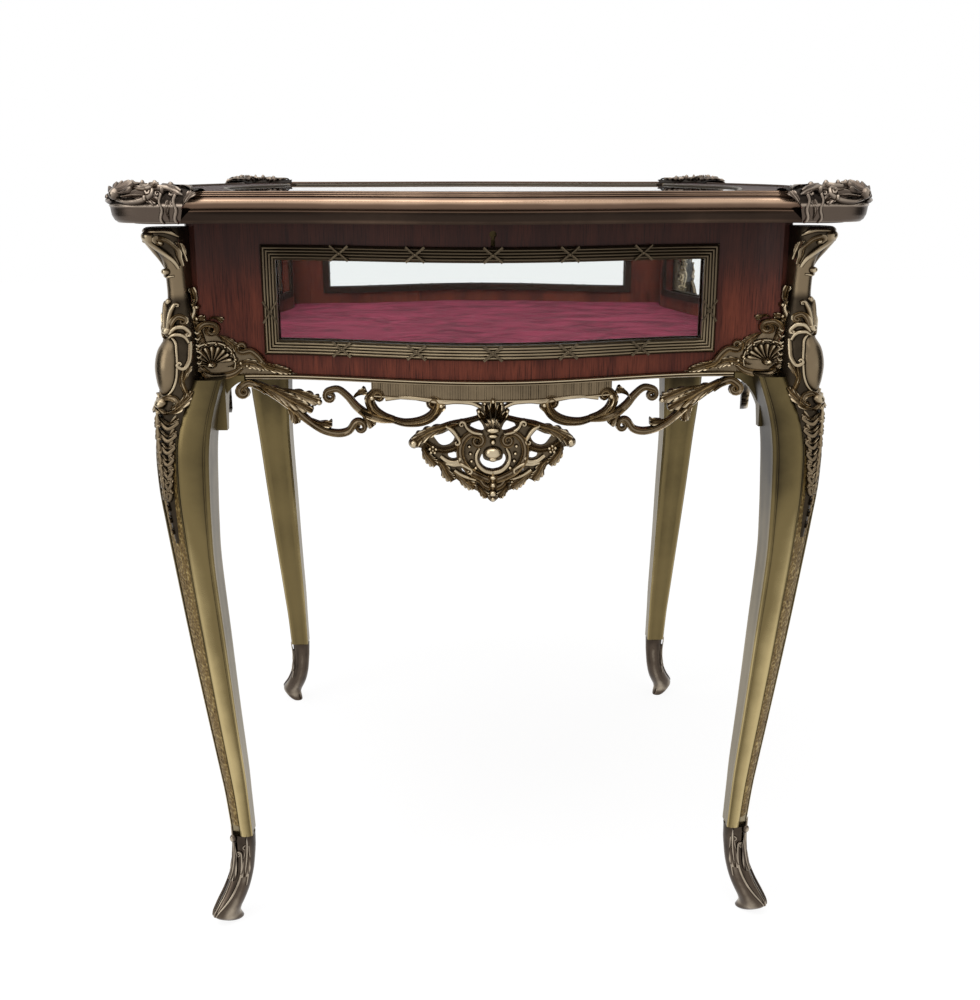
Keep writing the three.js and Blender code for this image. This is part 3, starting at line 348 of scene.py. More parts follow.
def inside_of(ring, points):
    """Which of the points lie inside a closed ring."""
    ring = np.asarray(ring)
    after = np.roll(ring, -1, axis=0)
    x, z = points[:, None, 0], points[:, None, 1]
    spans = (ring[:, 1] > z) != (after[:, 1] > z)
    rise = after[:, 1] - ring[:, 1]
    crossing = ring[:, 0] + (z - ring[:, 1]) * (after[:, 0] - ring[:, 0]) / np.where(rise, rise, 1)
    return (spans & (x < crossing)).sum(axis=1) % 2 == 1


def between(rings, points):
    """Which of the points lie inside the first ring and outside the others."""
    kept = inside_of(rings[0], points)
    for ring in rings[1:]:
        kept &= ~inside_of(ring, points)
    return kept


def plate(casting, outlines, front, back, shine):
    """A plate with rounded holes, cast with an uneven ground: its outline, then its holes."""
    rim_step, spacing, clear_of_rim = 0.0014, 0.0032, 0.0011
    rings = []
    for ring in outlines:
        closed = ring + ring[:1]
        rings.append(even_path(closed, max(int(path_length(closed) / rim_step), 8))[:-1])
    low, high = rings[0].min(axis=0), rings[0].max(axis=0)
    grid = np.stack(np.meshgrid(np.arange(low[0], high[0], spacing),
                                np.arange(low[1], high[1], spacing)), -1).reshape(-1, 2)
    grid = grid + 0.0009 * np.sin(grid[:, ::-1] * 4100)
    border = np.vstack(rings)
    near = np.min(np.linalg.norm(grid[:, None] - border[None], axis=2), axis=1)
    points = np.vstack([border, grid[between(rings, grid) & (near > clear_of_rim)]])
    edges, first = [], 0
    for ring in rings:
        edges += [(first + k, first + (k + 1) % len(ring)) for k in range(len(ring))]
        first += len(ring)
    found = delaunay_2d_cdt([Vector(point) for point in points.tolist()], edges, [], 0, 1e-7)
    places = np.array([tuple(place) for place in found[0]])
    faces = np.array([list(face) for face in found[2] if len(face) == 3])
    faces = faces[between(rings, places[faces].mean(axis=1))]
    count = len(places)
    x, z = places.T
    ground = front + 0.0004 * np.sin(x * 1900) * np.sin(z * 2300)
    sides = {}
    for a, b, c in faces.tolist():
        for pair in ((a, b), (b, c), (c, a)):
            key = tuple(sorted(pair))
            sides[key] = None if key in sides else pair
    rims = [[b, a, a + count, b + count] for a, b in filter(None, sides.values())]
    casting.add(np.stack([casting.lay(x, z, ground), casting.lay(x, z, np.full(count, back))]),
                faces.tolist() + (faces[:, ::-1] + count).tolist() + rims, shine)


# Materials

class Wiring:
    """A node tree with short ways to add to it; most give the socket that they end in."""

    def __init__(self, tree):
        self.tree = tree

    def feed(self, node, inputs):
        """Gives a node's inputs their values or links."""
        for key, value in inputs.items():
            if isinstance(value, bpy.types.NodeSocket):
                self.tree.links.new(value, node.inputs[key])
            else:
                node.inputs[key].default_value = value

    def node(self, kind, inputs=(), **settings):
        node = self.tree.nodes.new(kind)
        for key, value in settings.items():
            setattr(node, key, value)
        self.feed(node, dict(inputs))
        return node

    def place(self):
        return self.node("ShaderNodeTexCoord").outputs["Object"]

    def drawn(self, place, scale=(1.0, 1.0, 1.0), turn=(0.0, 0.0, 0.0)):
        return self.node("ShaderNodeMapping", {"Vector": place, "Scale": scale,
                                               "Rotation": turn}).outputs[0]

    def noise(self, place, scale, detail=2.0, roughness=0.5, distortion=0.0):
        return self.node("ShaderNodeTexNoise", {
            "Vector": place, "Scale": scale, "Detail": detail, "Roughness": roughness,
            "Distortion": distortion}).outputs["Fac"]

    def ranged(self, value, low, high, start=0.0, end=1.0, kind="LINEAR"):
        return self.node("ShaderNodeMapRange", {"Value": value, 1: low, 2: high, 3: start, 4: end},
                         interpolation_type=kind).outputs[0]

    def eased(self, value, low, high, end=1.0):
        return self.ranged(value, low, high, 0.0, end, "SMOOTHSTEP")

    def maths(self, operation, first, second, clamp=False):
        return self.node("ShaderNodeMath", {0: first, 1: second}, operation=operation,
                         use_clamp=clamp).outputs[0]

    def sum(self, first, second, clamp=False):
        return self.maths("ADD", first, second, clamp)

    def less(self, first, second):
        return self.maths("SUBTRACT", first, second)

    def times(self, first, second):
        return self.maths("MULTIPLY", first, second)

    def mixed(self, factor, first, second, blend="MIX"):
        return self.node("ShaderNodeMix", {0: factor, 6: first, 7: second}, data_type="RGBA",
                         blend_type=blend).outputs[2]

    def layered(self, factor, first, second):
        return self.node("ShaderNodeMixShader", {0: factor, 1: first, 2: second}).outputs[0]

    def bump(self, height, strength, distance):
        return self.node("ShaderNodeBump", {"Height": height, "Strength": strength,
                                            "Distance": distance}).outputs[0]

    def seen(self):
        """Whether a ray is the camera's, or one that metal or glass sends on."""
        rays = self.node("ShaderNodeLightPath").outputs
        seen = self.sum(rays["Is Camera Ray"], rays["Is Glossy Ray"])
        return self.sum(seen, rays["Is Transmission Ray"], clamp=True)


def surface_group(name, ins):
    """An empty node group for a colour, roughness and height, with its inputs and outputs."""
    group = bpy.data.node_groups.new(name, "ShaderNodeTree")
    for label, kind, value in ins:
        socket = group.interface.new_socket(label, in_out="INPUT", socket_type=kind)
        socket.default_value = value
    for label, kind in (("Color", "NodeSocketColor"), ("Roughness", "NodeSocketFloat"),
                        ("Height", "NodeSocketFloat")):
        group.interface.new_socket(label, in_out="OUTPUT", socket_type=kind)
    return Wiring(group), group.nodes.new("NodeGroupInput").outputs, group.nodes.new("NodeGroupOutput")


def patina_group():
    """Old brass: dark in the recesses, rubbed on the ridges, clouded all over."""
    wiring, given, made = surface_group("brass patina", [
        ("Height", "NodeSocketFloat", 0.6),
        ("Recess", "NodeSocketColor", (0.02, 0.013, 0.008, 1)),
        ("Body", "NodeSocketColor", (0.2, 0.14, 0.06, 1)),
        ("Rubbed", "NodeSocketColor", (0.45, 0.35, 0.17, 1)),
        ("Cloud Scale", "NodeSocketFloat", 40.0),
        ("Cloud", "NodeSocketFloat", 0.35),
        ("Roughness", "NodeSocketFloat", 0.3)])
    place = wiring.place()
    cloud = wiring.noise(place, given["Cloud Scale"], 5.0, 0.6)
    grit = wiring.noise(place, 900.0, 3.0)
    shift = wiring.times(wiring.less(cloud, 0.5), given["Cloud"])
    level = wiring.sum(given["Height"], shift, clamp=True)
    dark = wiring.mixed(wiring.eased(level, 0.05, 0.5), given["Recess"], given["Body"])
    unworn = wiring.times(wiring.less(1.0, level), 0.28)
    rough = wiring.sum(wiring.sum(given["Roughness"], unworn), wiring.times(grit, 0.08))
    wiring.feed(made, {
        "Color": wiring.mixed(wiring.eased(level, 0.55, 1.0), dark, given["Rubbed"]),
        "Roughness": rough,
        "Height": wiring.sum(wiring.times(cloud, 0.6), wiring.times(grit, 0.4))})
    return wiring.tree


def wood_group():
    """Veneer: long figure along Z of the given place, fine pores, slow clouds."""
    wiring, given, made = surface_group("kingwood figure", [
        ("Place", "NodeSocketVector", (0, 0, 0)),
        ("Dark", "NodeSocketColor", (0.03, 0.007, 0.004, 1)),
        ("Light", "NodeSocketColor", (0.17, 0.045, 0.02, 1))])
    place = given["Place"]
    drawn = wiring.drawn(place, (1.0, 1.0, 0.09))
    bands = wiring.noise(drawn, 46.0, 6.0, 0.62, 0.5)
    fine = wiring.noise(drawn, 420.0, 4.0, 0.7)
    cloud = wiring.noise(place, 7.0, 3.0)
    pores = wiring.noise(wiring.drawn(place, (1.0, 1.0, 0.03)), 1300.0)
    figured = wiring.sum(wiring.times(bands, 0.62), wiring.times(fine, 0.38))
    figured = wiring.sum(figured, wiring.times(wiring.less(cloud, 0.5), 0.35))
    share = wiring.eased(figured, 0.3, 0.72)
    pore = wiring.ranged(pores, 0.34, 0.46, 0.35, 1.0)
    pore_colour = wiring.node("ShaderNodeCombineColor", {0: pore, 1: pore, 2: pore}).outputs[0]
    colour = wiring.mixed(share, given["Dark"], given["Light"])
    wiring.feed(made, {
        "Color": wiring.mixed(1.0, colour, pore_colour, "MULTIPLY"),
        "Roughness": wiring.less(0.42, wiring.times(share, 0.08)),
        "Height": pore})
    return wiring.tree


patina = patina_group()
figure = wood_group()


def new_material(name):
    """A material with its wiring and its shader."""
    material = bpy.data.materials.new(name)
    material.use_nodes = True
    wiring = Wiring(material.node_tree)
    return material, wiring, wiring.tree.nodes["Principled BSDF"]


def brass(wiring, shader, height, tones, roughness, cloud, scale=40.0):
    """Feeds a shader with the patina: tones of the recesses, the body and the ridges."""
    recess, body, wear_and_light = ((*tone, 1) for tone in tones)
    worn = wiring.node("ShaderNodeGroup", {
        "Height": height, "Recess": recess, "Body": body, "Rubbed": wear_and_light,
        "Cloud Scale": scale, "Cloud": cloud, "Roughness": roughness}, node_tree=patina).outputs
    wiring.feed(shader, {"Base Color": worn["Color"], "Roughness": worn["Roughness"],
                         "Metallic": 1.0})
    return worn["Height"]


def brass_material(name, tones, roughness, cloud=0.35, scale=40.0, plain=None, bump=0.15):
    """Brass with its patina; plain sets one height for nodes without the attribute."""
    material, wiring, shader = new_material(name)
    height = plain
    if plain is None:
        height = wiring.node("ShaderNodeAttribute", attribute_name="height").outputs["Fac"]
    pitted = brass(wiring, shader, height, tones, roughness, cloud, scale)
    wiring.feed(shader, {"Normal": wiring.bump(pitted, bump, 0.0004)})
    return material


def stippled_material():
    """The matted ground of the leg panels: close punched dots in golden brass."""
    material, wiring, shader = new_material("stippled brass")
    place = wiring.place()
    dots = wiring.node("ShaderNodeTexVoronoi", {"Vector": place, "Scale": 420.0},
                       feature="SMOOTH_F1").outputs["Distance"]
    level = wiring.ranged(dots, 0.1, 0.75)
    worn = wiring.noise(place, 130.0, 4.0)
    height = wiring.sum(wiring.times(level, 0.7), wiring.times(worn, 0.4))
    brass(wiring, shader, height, ((0.05, 0.03, 0.012), (0.2, 0.13, 0.045), (0.42, 0.31, 0.12)),
          0.36, 0.5)
    wiring.feed(shader, {"Normal": wiring.bump(level, 0.8, 0.0006)})
    return material


def wood_material(name, dark, light, lie=(0.0, 0.0, 0.0)):
    """Polished veneer, with the lid's shadow painted in as darker colour towards the lid; lie turns
    the figure away from the upright.
    """
    material, wiring, shader = new_material(name)
    place = wiring.place()
    veneer = wiring.node("ShaderNodeGroup", {
        "Place": wiring.drawn(place, turn=lie), "Dark": (*dark, 1), "Light": (*light, 1)},
        node_tree=figure).outputs
    level = wiring.node("ShaderNodeSeparateXYZ", {"Vector": place}).outputs["Z"]
    # painted shadow: the veneer is mixed towards dark brown near the lid, where the lid's overhang
    # shades it
    shade = wiring.eased(level, 0.645, 0.7, 0.72)
    wiring.feed(shader, {
        "Base Color": wiring.mixed(shade, veneer["Color"], (0.027, 0.0165, 0.015, 1)),
        "Roughness": veneer["Roughness"], "Specular IOR Level": 0.12, "Coat Weight": 0.04,
        "Coat Roughness": 0.15, "Normal": wiring.bump(veneer["Height"], 0.12, 0.0002)})
    return material


def velvet_material():
    """Crushed velvet: the nap lies this way and that, in pale and deep patches."""
    material, wiring, shader = new_material("crushed velvet")
    place = wiring.place()
    patches = wiring.noise(wiring.drawn(place, (0.8, 1.5, 1.0)), 15.0, 6.0, 0.66, 2.4)
    nap = wiring.noise(place, 1500.0)
    share = wiring.eased(patches, 0.38, 0.62)
    colour = wiring.mixed(share, (0.066, 0.005, 0.013, 1), (0.205, 0.023, 0.05, 1))
    fine = wiring.times(nap, 0.06)
    height = wiring.sum(wiring.times(share, 0.94), fine)
    wiring.feed(shader, {
        "Base Color": wiring.mixed(fine, colour, (0.05, 0.004, 0.012, 1)), "Roughness": 0.9,
        "Sheen Weight": 0.15, "Sheen Roughness": 0.35, "Sheen Tint": (0.9, 0.35, 0.5, 1),
        "Specular IOR Level": 0.15, "Normal": wiring.bump(height, 0.4, 0.001)})
    return material


def glass_material():
    """Clear glass that lets the lamps through to what it covers."""
    material, wiring, shader = new_material("clear glass")
    smears = wiring.noise(wiring.place(), 14.0, 5.0, distortion=0.8)
    wiring.feed(shader, {
        "Base Color": (0.92, 0.94, 0.935, 1), "Transmission Weight": 1.0, "IOR": 1.15,
        "Roughness": wiring.ranged(smears, 0.45, 0.75, 0.0, 0.006)})
    clear = wiring.node("ShaderNodeBsdfTransparent", {"Color": (0.93, 0.95, 0.94, 1)}).outputs[0]
    ray = wiring.node("ShaderNodeLightPath").outputs["Is Shadow Ray"]
    wiring.feed(wiring.tree.nodes["Material Output"],
                {"Surface": wiring.layered(ray, shader.outputs[0], clear)})
    return material


def steel_material():
    material, wiring, shader = new_material("bright steel")
    lines = wiring.noise(wiring.drawn(wiring.place(), (0.05, 1.0, 1.0)), 2500.0)
    wiring.feed(shader, {
        "Base Color": wiring.mixed(lines, (0.2, 0.19, 0.18, 1), (0.42, 0.42, 0.42, 1)),
        "Roughness": wiring.sum(wiring.times(lines, 0.2), 0.22), "Metallic": 1.0,
        "Normal": wiring.bump(lines, 0.1, 0.0001)})
    return material


cast_brass = brass_material(
    "cast brass", ((0.036, 0.027, 0.018), (0.2, 0.15, 0.092), (0.54, 0.445, 0.3)), 0.14)
leg_brass = brass_material(
    "smooth brass", ((0.02, 0.015, 0.009), (0.17, 0.128, 0.056), (0.5, 0.395, 0.195)), 0.14,
    cloud=0.6, scale=7.0, bump=0.05)
lid_bronze = brass_material(
    "lid bronze", ((0.036, 0.024, 0.018), (0.14, 0.088, 0.06), (0.56, 0.38, 0.26)), 0.2,
    cloud=0.5, scale=9.0, bump=0.05)
mount_bronze = brass_material(
    "mount bronze", ((0.026, 0.020, 0.016), (0.105, 0.080, 0.063), (0.33, 0.27, 0.215)), 0.18)
foot_bronze = brass_material(
    "foot bronze", ((0.016, 0.012, 0.009), (0.085, 0.064, 0.048), (0.46, 0.39, 0.3)), 0.1,
    cloud=0.5)
frame_brass = brass_material(
    "frame brass", ((0.038, 0.028, 0.019), (0.105, 0.08, 0.051), (0.24, 0.188, 0.118)), 0.22,
    cloud=0.4, scale=20.0)
bead_brass = brass_material(
    "bead brass", ((0.012, 0.008, 0.006), (0.05, 0.03, 0.02), (0.2, 0.14, 0.09)), 0.3, plain=0.45)
plain_brass = brass_material(
    "plain brass", ((0.03, 0.02, 0.01), (0.15, 0.11, 0.05), (0.3, 0.23, 0.11)), 0.3, plain=0.6)
stippled_brass = stippled_material()
panel_wood = wood_material("kingwood", (0.07, 0.0165, 0.011), (0.205, 0.05, 0.027))
rail_wood = wood_material("lid kingwood", (0.03, 0.008, 0.005), (0.13, 0.034, 0.016),
                          (0.0, math.pi / 2, 0.0))
velvet = velvet_material()
glass = glass_material()
steel = steel_material()

# What the solids are made of, by the end of their names; the rest is plain brass
solid_materials = {
    "panel": panel_wood, "bottom_board": panel_wood, "lid_frame": rail_wood, "pane": glass,
    "lid_glass": glass, "hinge_pin_left": steel, "hinge_pin_right": steel, "lock_bolt": steel,
    "inner_bead": bead_brass, "velvet_pad": velvet}
for node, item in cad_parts.items():
    found = [made for ending, made in solid_materials.items() if node.endswith(ending)]
    item.data.materials.clear()
    item.data.materials.append(found[0] if found else plain_brass)


# The case

def board(casting, halves, levels, front, back, hole=None):
    """A board bent between two faces, each a plan and how far out of it. Halves are its
    half widths in front and at the back; a hole has a half width, a bottom and a top."""
    tapered = 0.8
    across = np.linspace(-halves[0], halves[0], 73)
    if hole:
        across = np.unique(np.concatenate([across, [-hole[0], hole[0]]]))
        levels = sorted({*levels, hole[1], hole[2]})
    levels = np.array(levels)
    x, z = np.meshgrid(across, levels, indexing="ij")
    taper = np.clip(np.abs(x) / halves[0] - tapered, 0, None) / (1 - tapered)
    back_x = x * (1 - (1 - halves[1] / halves[0]) * taper)
    places = np.stack([np.stack([run, -(face_reach(plan, run) + out), z], -1)
                       for run, (plan, out) in ((x, front), (back_x, back))])
    number = np.arange(2 * x.size).reshape(2, *x.shape)
    solid = np.ones((x.shape[0] - 1, x.shape[1] - 1), bool)
    if hole:
        inside = np.abs(across[:-1] + across[1:]) / 2 < hole[0]
        middles = (levels[:-1] + levels[1:]) / 2
        solid = ~(inside[:, None] & ((middles > hole[1]) & (middles < hole[2]))[None, :])
    bordered = np.pad(solid, 1)
    near, far = number
    faces = []
    for i, j in np.argwhere(solid):
        for sheet in number:
            faces.append([sheet[i, j], sheet[i + 1, j], sheet[i + 1, j + 1], sheet[i, j + 1]])
        for beside, first, second in (((i, j + 1), (i, j), (i, j + 1)),
                                      ((i + 2, j + 1), (i + 1, j), (i + 1, j + 1)),
                                      ((i + 1, j), (i, j), (i + 1, j)),
                                      ((i + 1, j + 2), (i, j + 1), (i + 1, j + 1))):
            if not bordered[beside]:
                faces.append([near[first], near[second], far[second], far[first]])
    casting.add(places, faces, 0.6)


def keyhole():
    """The keyhole as an upright prism through the front panel."""
    centre, eye_up, foot_down = 0.7105, 0.0035, 0.0072
    half, eye = 0.0021, 0.0034
    outline = [(-half, centre - foot_down), (half, centre - foot_down)]
    for angle in np.linspace(-math.pi / 3, math.pi * 4 / 3, 13):
        outline.append((eye * math.cos(angle), centre + eye_up + eye * math.sin(angle)))
    x, z = np.array(outline).T
    cutter = Casting()
    before, behind = -0.33, -0.27
    cutter.grid(np.stack([np.stack([x, np.full_like(x, y), z], -1) for y in (before, behind)]),
                0.1, around=True, capped=True)
    return cutter


# The window frame's section, from the sight out: fillets and four reeds
reed_pitch, reed_start, reed_foot, reed_rise = 0.0028, 0.0015, 0.0026, 0.0021
reed_section = [(0.0, -0.004, 0.1), (0.0, 0.0022, 0.6), (0.0008, 0.003, 0.9), (0.0014, 0.0026, 0.2)]
for reed in range(4):
    for angle in np.linspace(0, math.pi, 7):
        reed_section.append((reed_start + reed_pitch * (reed + (1 - math.cos(angle)) / 2),
                             reed_foot + reed_rise * math.sin(angle),
                             0.28 + 0.62 * math.sin(angle)))
reed_section += [(0.0132, 0.003, 0.8), (0.014, 0.002, 0.5), (0.014, -0.004, 0.1)]


def window_frame(casting):
    """The mitred, reeded frame with its crossed ribbons."""
    out, depth, shine = np.array(reed_section).T
    rows = []
    for z, way in ((sight_bottom, 1), (sight_top, -1)):
        for x in np.linspace(-sight_half, sight_half, 65) * way:
            corner = abs(abs(x) - sight_half) < 1e-9
            across = x + (math.copysign(1, x) * out if corner else 0 * out)
            rows.append(on_face(across, z - way * out, depth))
    rows = np.array(rows + rows[:1])
    # painted shade: the frame's polish is cut towards its top, so it renders darker under the lid
    shade_towards_top = np.interp(rows[..., 2], [sight_bottom, 0.64, sight_top], [1.0, 0.72, 0.6])
    casting.grid(rows, shine[None, :] * shade_towards_top, around=True)
    work = Relief(casting, seat=4.6, back=3.0)
    knots = Relief(casting, seat=4.8)
    middle = frame_width / 2
    low, high = (sight_bottom - middle) / mm, (sight_top + middle) / mm
    beside = (sight_half + middle) / mm
    for x, z in [(x, z) for x in (-140, -70, 0, 70, 140) for z in (low, high)]:
        for lean in (-1, 1):
            work.stem([(x - 8.5 * lean, z - 6.8), (x - 3 * lean, z - 2), (x + 3 * lean, z + 2),
                       (x + 8.5 * lean, z + 6.8)], [2.6, 2.2, 2.6], 1.2, ribbon)
        knots.boss(x, z, 1.8, 1.6, polish=0.5)
    for x in (-beside, beside):
        for lean in (-1, 1):
            work.stem([(x - 6.6 * lean, 631), (x, 641), (x + 6.6 * lean, 651)], [2.2, 1.8, 2.2],
                      1.2, ribbon)


panel_end, inside_end = (plan["centre"] + plan["radius"] / root_two
                         for plan in (case_plan, inside_plan))
pane_half = sight_half + pane_edge
panel, pane, surround = Casting(), Casting(), Casting(on_face)
board(panel, (panel_end, inside_end), [case_bottom, case_top], (case_plan, 0.0),
      (inside_plan, 0.0),
      (pane_half + fit, sight_bottom - pane_edge - fit, sight_top + pane_edge + fit))
board(pane, (pane_half, pane_half), [sight_bottom - pane_edge, sight_top + pane_edge],
      (case_plan, -pane_setback), (case_plan, -pane_setback - pane_thickness))
window_frame(surround)

for side, turn in side_turns.items():
    piece = panel.part(f"{side}_panel_veneer", panel_wood, "case", [f"{side}_panel"],
                       "kingwood", turn)
    if side == "front":
        cut_by(piece, keyhole())
    pane.part(f"{side}_bent_pane", glass, "case", [f"{side}_pane"], "clear_glass", turn)
    surround.part(f"{side}_reeded_frame", frame_brass, "case", [f"{side}_window_frame"],
                  "cast_brass", turn)


def velvet_lining():
    """The lining: a thin padded sheet cut to the case, its nap crushed into low folds."""
    top_level, sole_level, drop, fold = 0.5955, 0.5904, 0.0042, 0.00025
    corner_gap, wall_gap = 0.002, 0.0006
    edge = inside_plan["centre"] - corner_gap
    share = np.linspace(-1, 1, 120)
    u, v = np.meshgrid(share, share, indexing="ij")

    def bowed(along, other):
        past = face_reach(inside_plan, other * edge) - wall_gap - edge
        return along * edge + np.sign(along) * np.abs(along) ** 8 * past

    x, y = bowed(u, v), bowed(v, u)
    drawn_in = np.maximum(np.abs(u), np.abs(v)) ** 30
    folds = (np.sin(61 * x + 3 * np.sin(37 * y)) + np.sin(83 * y + 2.4 * np.sin(52 * x))
             + 0.7 * np.sin(140 * (x + y) + 2 * np.sin(90 * x)))
    top = np.stack([x, y, top_level - drop * drawn_in + fold * folds * (1 - drawn_in)], -1)
    lining = Casting()
    lining.grid(top, 0.6)
    upper = np.concatenate([top[0, :-1], top[:-1, -1], top[-1, :0:-1], top[:0:-1, 0]])
    lower = np.column_stack([upper[:, :2], np.full(len(upper), sole_level)])
    lining.grid(np.stack([upper, lower]), 0.6, around=True)
    lining.faces.append(list(range(lining.count - len(upper), lining.count)))
    piece = lining.part("velvet_lining", velvet, "case", ["velvet_pad"], "velvet")
    faced_outward(piece.data, join=1e-6)


velvet_lining()


# The legs

# Height, inner reach and size of the leg, from the socket up
leg_line = even_path([
    (0.0960, 0.2504, 0.0234), (0.1397, 0.2520, 0.0255), (0.1699, 0.2531, 0.0280),
    (0.2400, 0.2571, 0.0325), (0.3199, 0.2610, 0.0380), (0.4002, 0.2650, 0.0426),
    (0.4401, 0.2650, 0.0470), (0.4800, 0.2639, 0.0520), (0.5199, 0.2621, 0.0540),
    (0.5501, 0.2581, 0.0520), (0.5827, 0.2499, 0.0480)], 90)
chamfer_share, soft_share = 0.5, 0.07
stipple_top = 0.535

# Along each face of a section of the leg: share of its width, how proud, how polished; the inner
# faces' low polish is painted shade
moulded = [(0.0, 0.0, 0.3), (0.02, 0.0003, 0.8), (0.05, -0.0002, 0.25), (0.10, 0.0001, 0.5),
           (0.25, 0.0008, 0.6), (0.45, 0.0013, 0.68), (0.65, 0.0013, 0.74), (0.82, 0.0008, 0.82),
           (0.92, 0.0003, 0.9), (1.0, -0.0004, 0.8)]
panelled = [(0.035, 0.0, 0.7), (0.055, -0.0016, 0.0), (0.11, -0.0016, 0.0), (0.135, -0.0004, 0.5),
            (0.3, -0.0004, 0.6), (0.5, -0.0004, 0.6), (0.7, -0.0004, 0.6), (0.865, -0.0004, 0.5),
            (0.89, -0.0016, 0.0), (0.945, -0.0016, 0.0), (0.965, 0.0, 0.7)]
# painted shade: the inner faces, turned in under the table, are kept dull so they render darker
plain = [(0.0, 0.0, 0.6), (0.2, 0.0, 0.36), (0.5, 0.0, 0.42), (0.8, 0.0, 0.36), (1.0, 0.0, 0.6)]
outer_arris, inner_arris = [(0.5, 0.0, 0.8)], [(0.5, 0.0, 0.7)]
leg_faces = [((0, 1), moulded), ((0.7071, 0.7071), panelled),
             ((1, 0), [(1 - share, proud, shine) for share, proud, shine in moulded[::-1]]),
             ((0, 0), outer_arris), ((0, 0), plain), ((0, 0), inner_arris), ((0, 0), plain),
             ((0, 0), outer_arris)]


def leg_ring(height, inner, size):
    """One section of the leg: smooth faces, grooved arrises and the panel between."""
    outer = inner + size
    cut = outer - chamfer_share * size
    low, high = inner + soft_share * size, outer - soft_share * size
    corners = [(low, outer), (cut, outer), (outer, cut), (outer, low),
               (high, inner), (low, inner), (inner, low), (inner, high)]
    # painted shade: the polish falls off towards the top, so the leg renders darker under the case and
    # brighter lower down
    wear_and_light = np.interp(height, [0.1, 0.3, 0.42, 0.48, 0.58], [1.15, 1.1, 0.85, 0.52, 0.35])
    points, heights = [], []
    for start, end, (way, stops) in zip(corners, corners[1:] + corners[:1], leg_faces):
        for share, proud, shine in stops:
            x, y = (a + (b - a) * share + w * proud for a, b, w in zip(start, end, way))
            points.append((x, -y, height))
            heights.append(shine * wear_and_light)
    return points, heights


def leg_brackets(casting):
    """The two brackets that each leg sends along the rails."""
    tip, root, low = 0.2333, 0.274, 0.5307
    share = np.linspace(0, 1, 16)[1:, None]
    start, bend, end = np.array([(tip, 0.5777), (0.2543, 0.5727), (0.2650, low)])
    curve = (1 - share) ** 2 * start + 2 * share * (1 - share) * bend + share ** 2 * end
    outline = np.vstack([[(root, leg_top), (tip, leg_top), (tip, leg_top - 0.005)], curve,
                         [(root, low)]])
    for swap in (False, True):
        layers = []
        for depth, inset in ((0.2575 if swap else 0.2512, 0.0), (0.2635, 0.0), (0.2650, 0.06)):
            x, z = (outline + (outline.mean(axis=0) - outline) * inset).T
            y = np.full_like(x, -depth)
            layers.append(np.stack([-y, -x, z] if swap else [x, y, z], -1))
        casting.grid(np.array(layers), 0.34, around=True, capped=True)


def leg_stipple(casting):
    """The matted panel down the leg's chamfer."""
    share = np.array([0.15, 0.3, 0.5, 0.7, 0.85])
    proud = np.array([-0.0002, 0.0003, 0.0006, 0.0003, -0.0002]) * 0.7071
    rows = []
    for height, inner, size in leg_line[leg_line[:, 0] < stipple_top][2:]:
        outer, cut = inner + size, chamfer_share * size
        rows.append(np.stack([outer - cut + cut * share + proud, cut * share - outer - proud,
                              np.full_like(share, height)], -1))
    casting.grid(np.array(rows), 0.6)


# Foot: height, reach of its middle, half width and half depth
foot_line = even_path([
    (0.0000, 0.2722, 0.0066, 0.0078), (0.0012, 0.2736, 0.0078, 0.0096),
    (0.0042, 0.2764, 0.0093, 0.0119), (0.0100, 0.2800, 0.0107, 0.0147),
    (0.0160, 0.2796, 0.0116, 0.0157), (0.0240, 0.2756, 0.0120, 0.0149),
    (0.0360, 0.2698, 0.0115, 0.0131), (0.0520, 0.2648, 0.0107, 0.0115),
    (0.0700, 0.2622, 0.0105, 0.0109), (0.0830, 0.2616, 0.0111, 0.0113),
    (0.0900, 0.2616, 0.0117, 0.0119), (0.0957, 0.2616, 0.0120, 0.0122)], 60)
foot_round = 0.0125


def on_foot(across, up, proud):
    """Lays work round the foot; across runs round it from the diagonal."""
    reach, half, deep = (np.interp(up, foot_line[:, 0], foot_line[:, k]) for k in (1, 2, 3))
    angle = across / foot_round
    return on_diagonal((deep + proud) * np.cos(angle) + reach * root_two,
                       (half + proud) * np.sin(angle), up)


def scroll_foot(casting):
    angle = np.linspace(-math.pi, math.pi, 40, endpoint=False)[None, :]
    up = foot_line[:, :1]
    ridge = 0.5 + 0.5 * np.cos(angle * 5)
    fluted = np.interp(up, [0.0, 0.012, 0.03, 0.08, 0.092], [0, 0.4, 1, 1, 0])
    toe_shine = np.interp(up, [0.0, 0.008, 0.03], [0.1, 0.4, 0])
    casting.laid(angle * foot_round, up, 0.0008 * ridge * fluted,
                 0.3 + 0.35 * ridge * fluted + toe_shine, around=True, capped=True)
    leaves = Relief(casting, seat=0.5)
    for turn, low, high, width in ((0.0, 46, 113, 14), (1.15, 50, 103, 12), (-1.15, 50, 103, 12)):
        x = turn * foot_round / mm
        leaves.leaf([(x, high - 4), (x, (low + high) / 2), (x, low)],
                    [3, width, width * 0.8, 3], 3.0, 3)
    for way in (-1, 1):
        work = Relief(casting, way)
        work.stem([(3, 13), (8.5, 30), (10.5, 52), (8.5, 74)], [3, 4.2, 4, 3.6, 2], 2.2, rounded,
                  (1, 3.6, 1.3))
        work.stem([(20, 40), (17.5, 60), (16.5, 82)], [2, 3.4, 3, 2], 2.0, rounded, (1, 3.6, 1.1))
    Relief(casting).stem([(0, 12), (0, 30), (0, 48)], [5, 5, 3], 1.8, rounded)
    Relief(casting, seat=1.0).boss(0, 92.5, 3.4, 4.0, 4.8)


# The corner mounts of the case

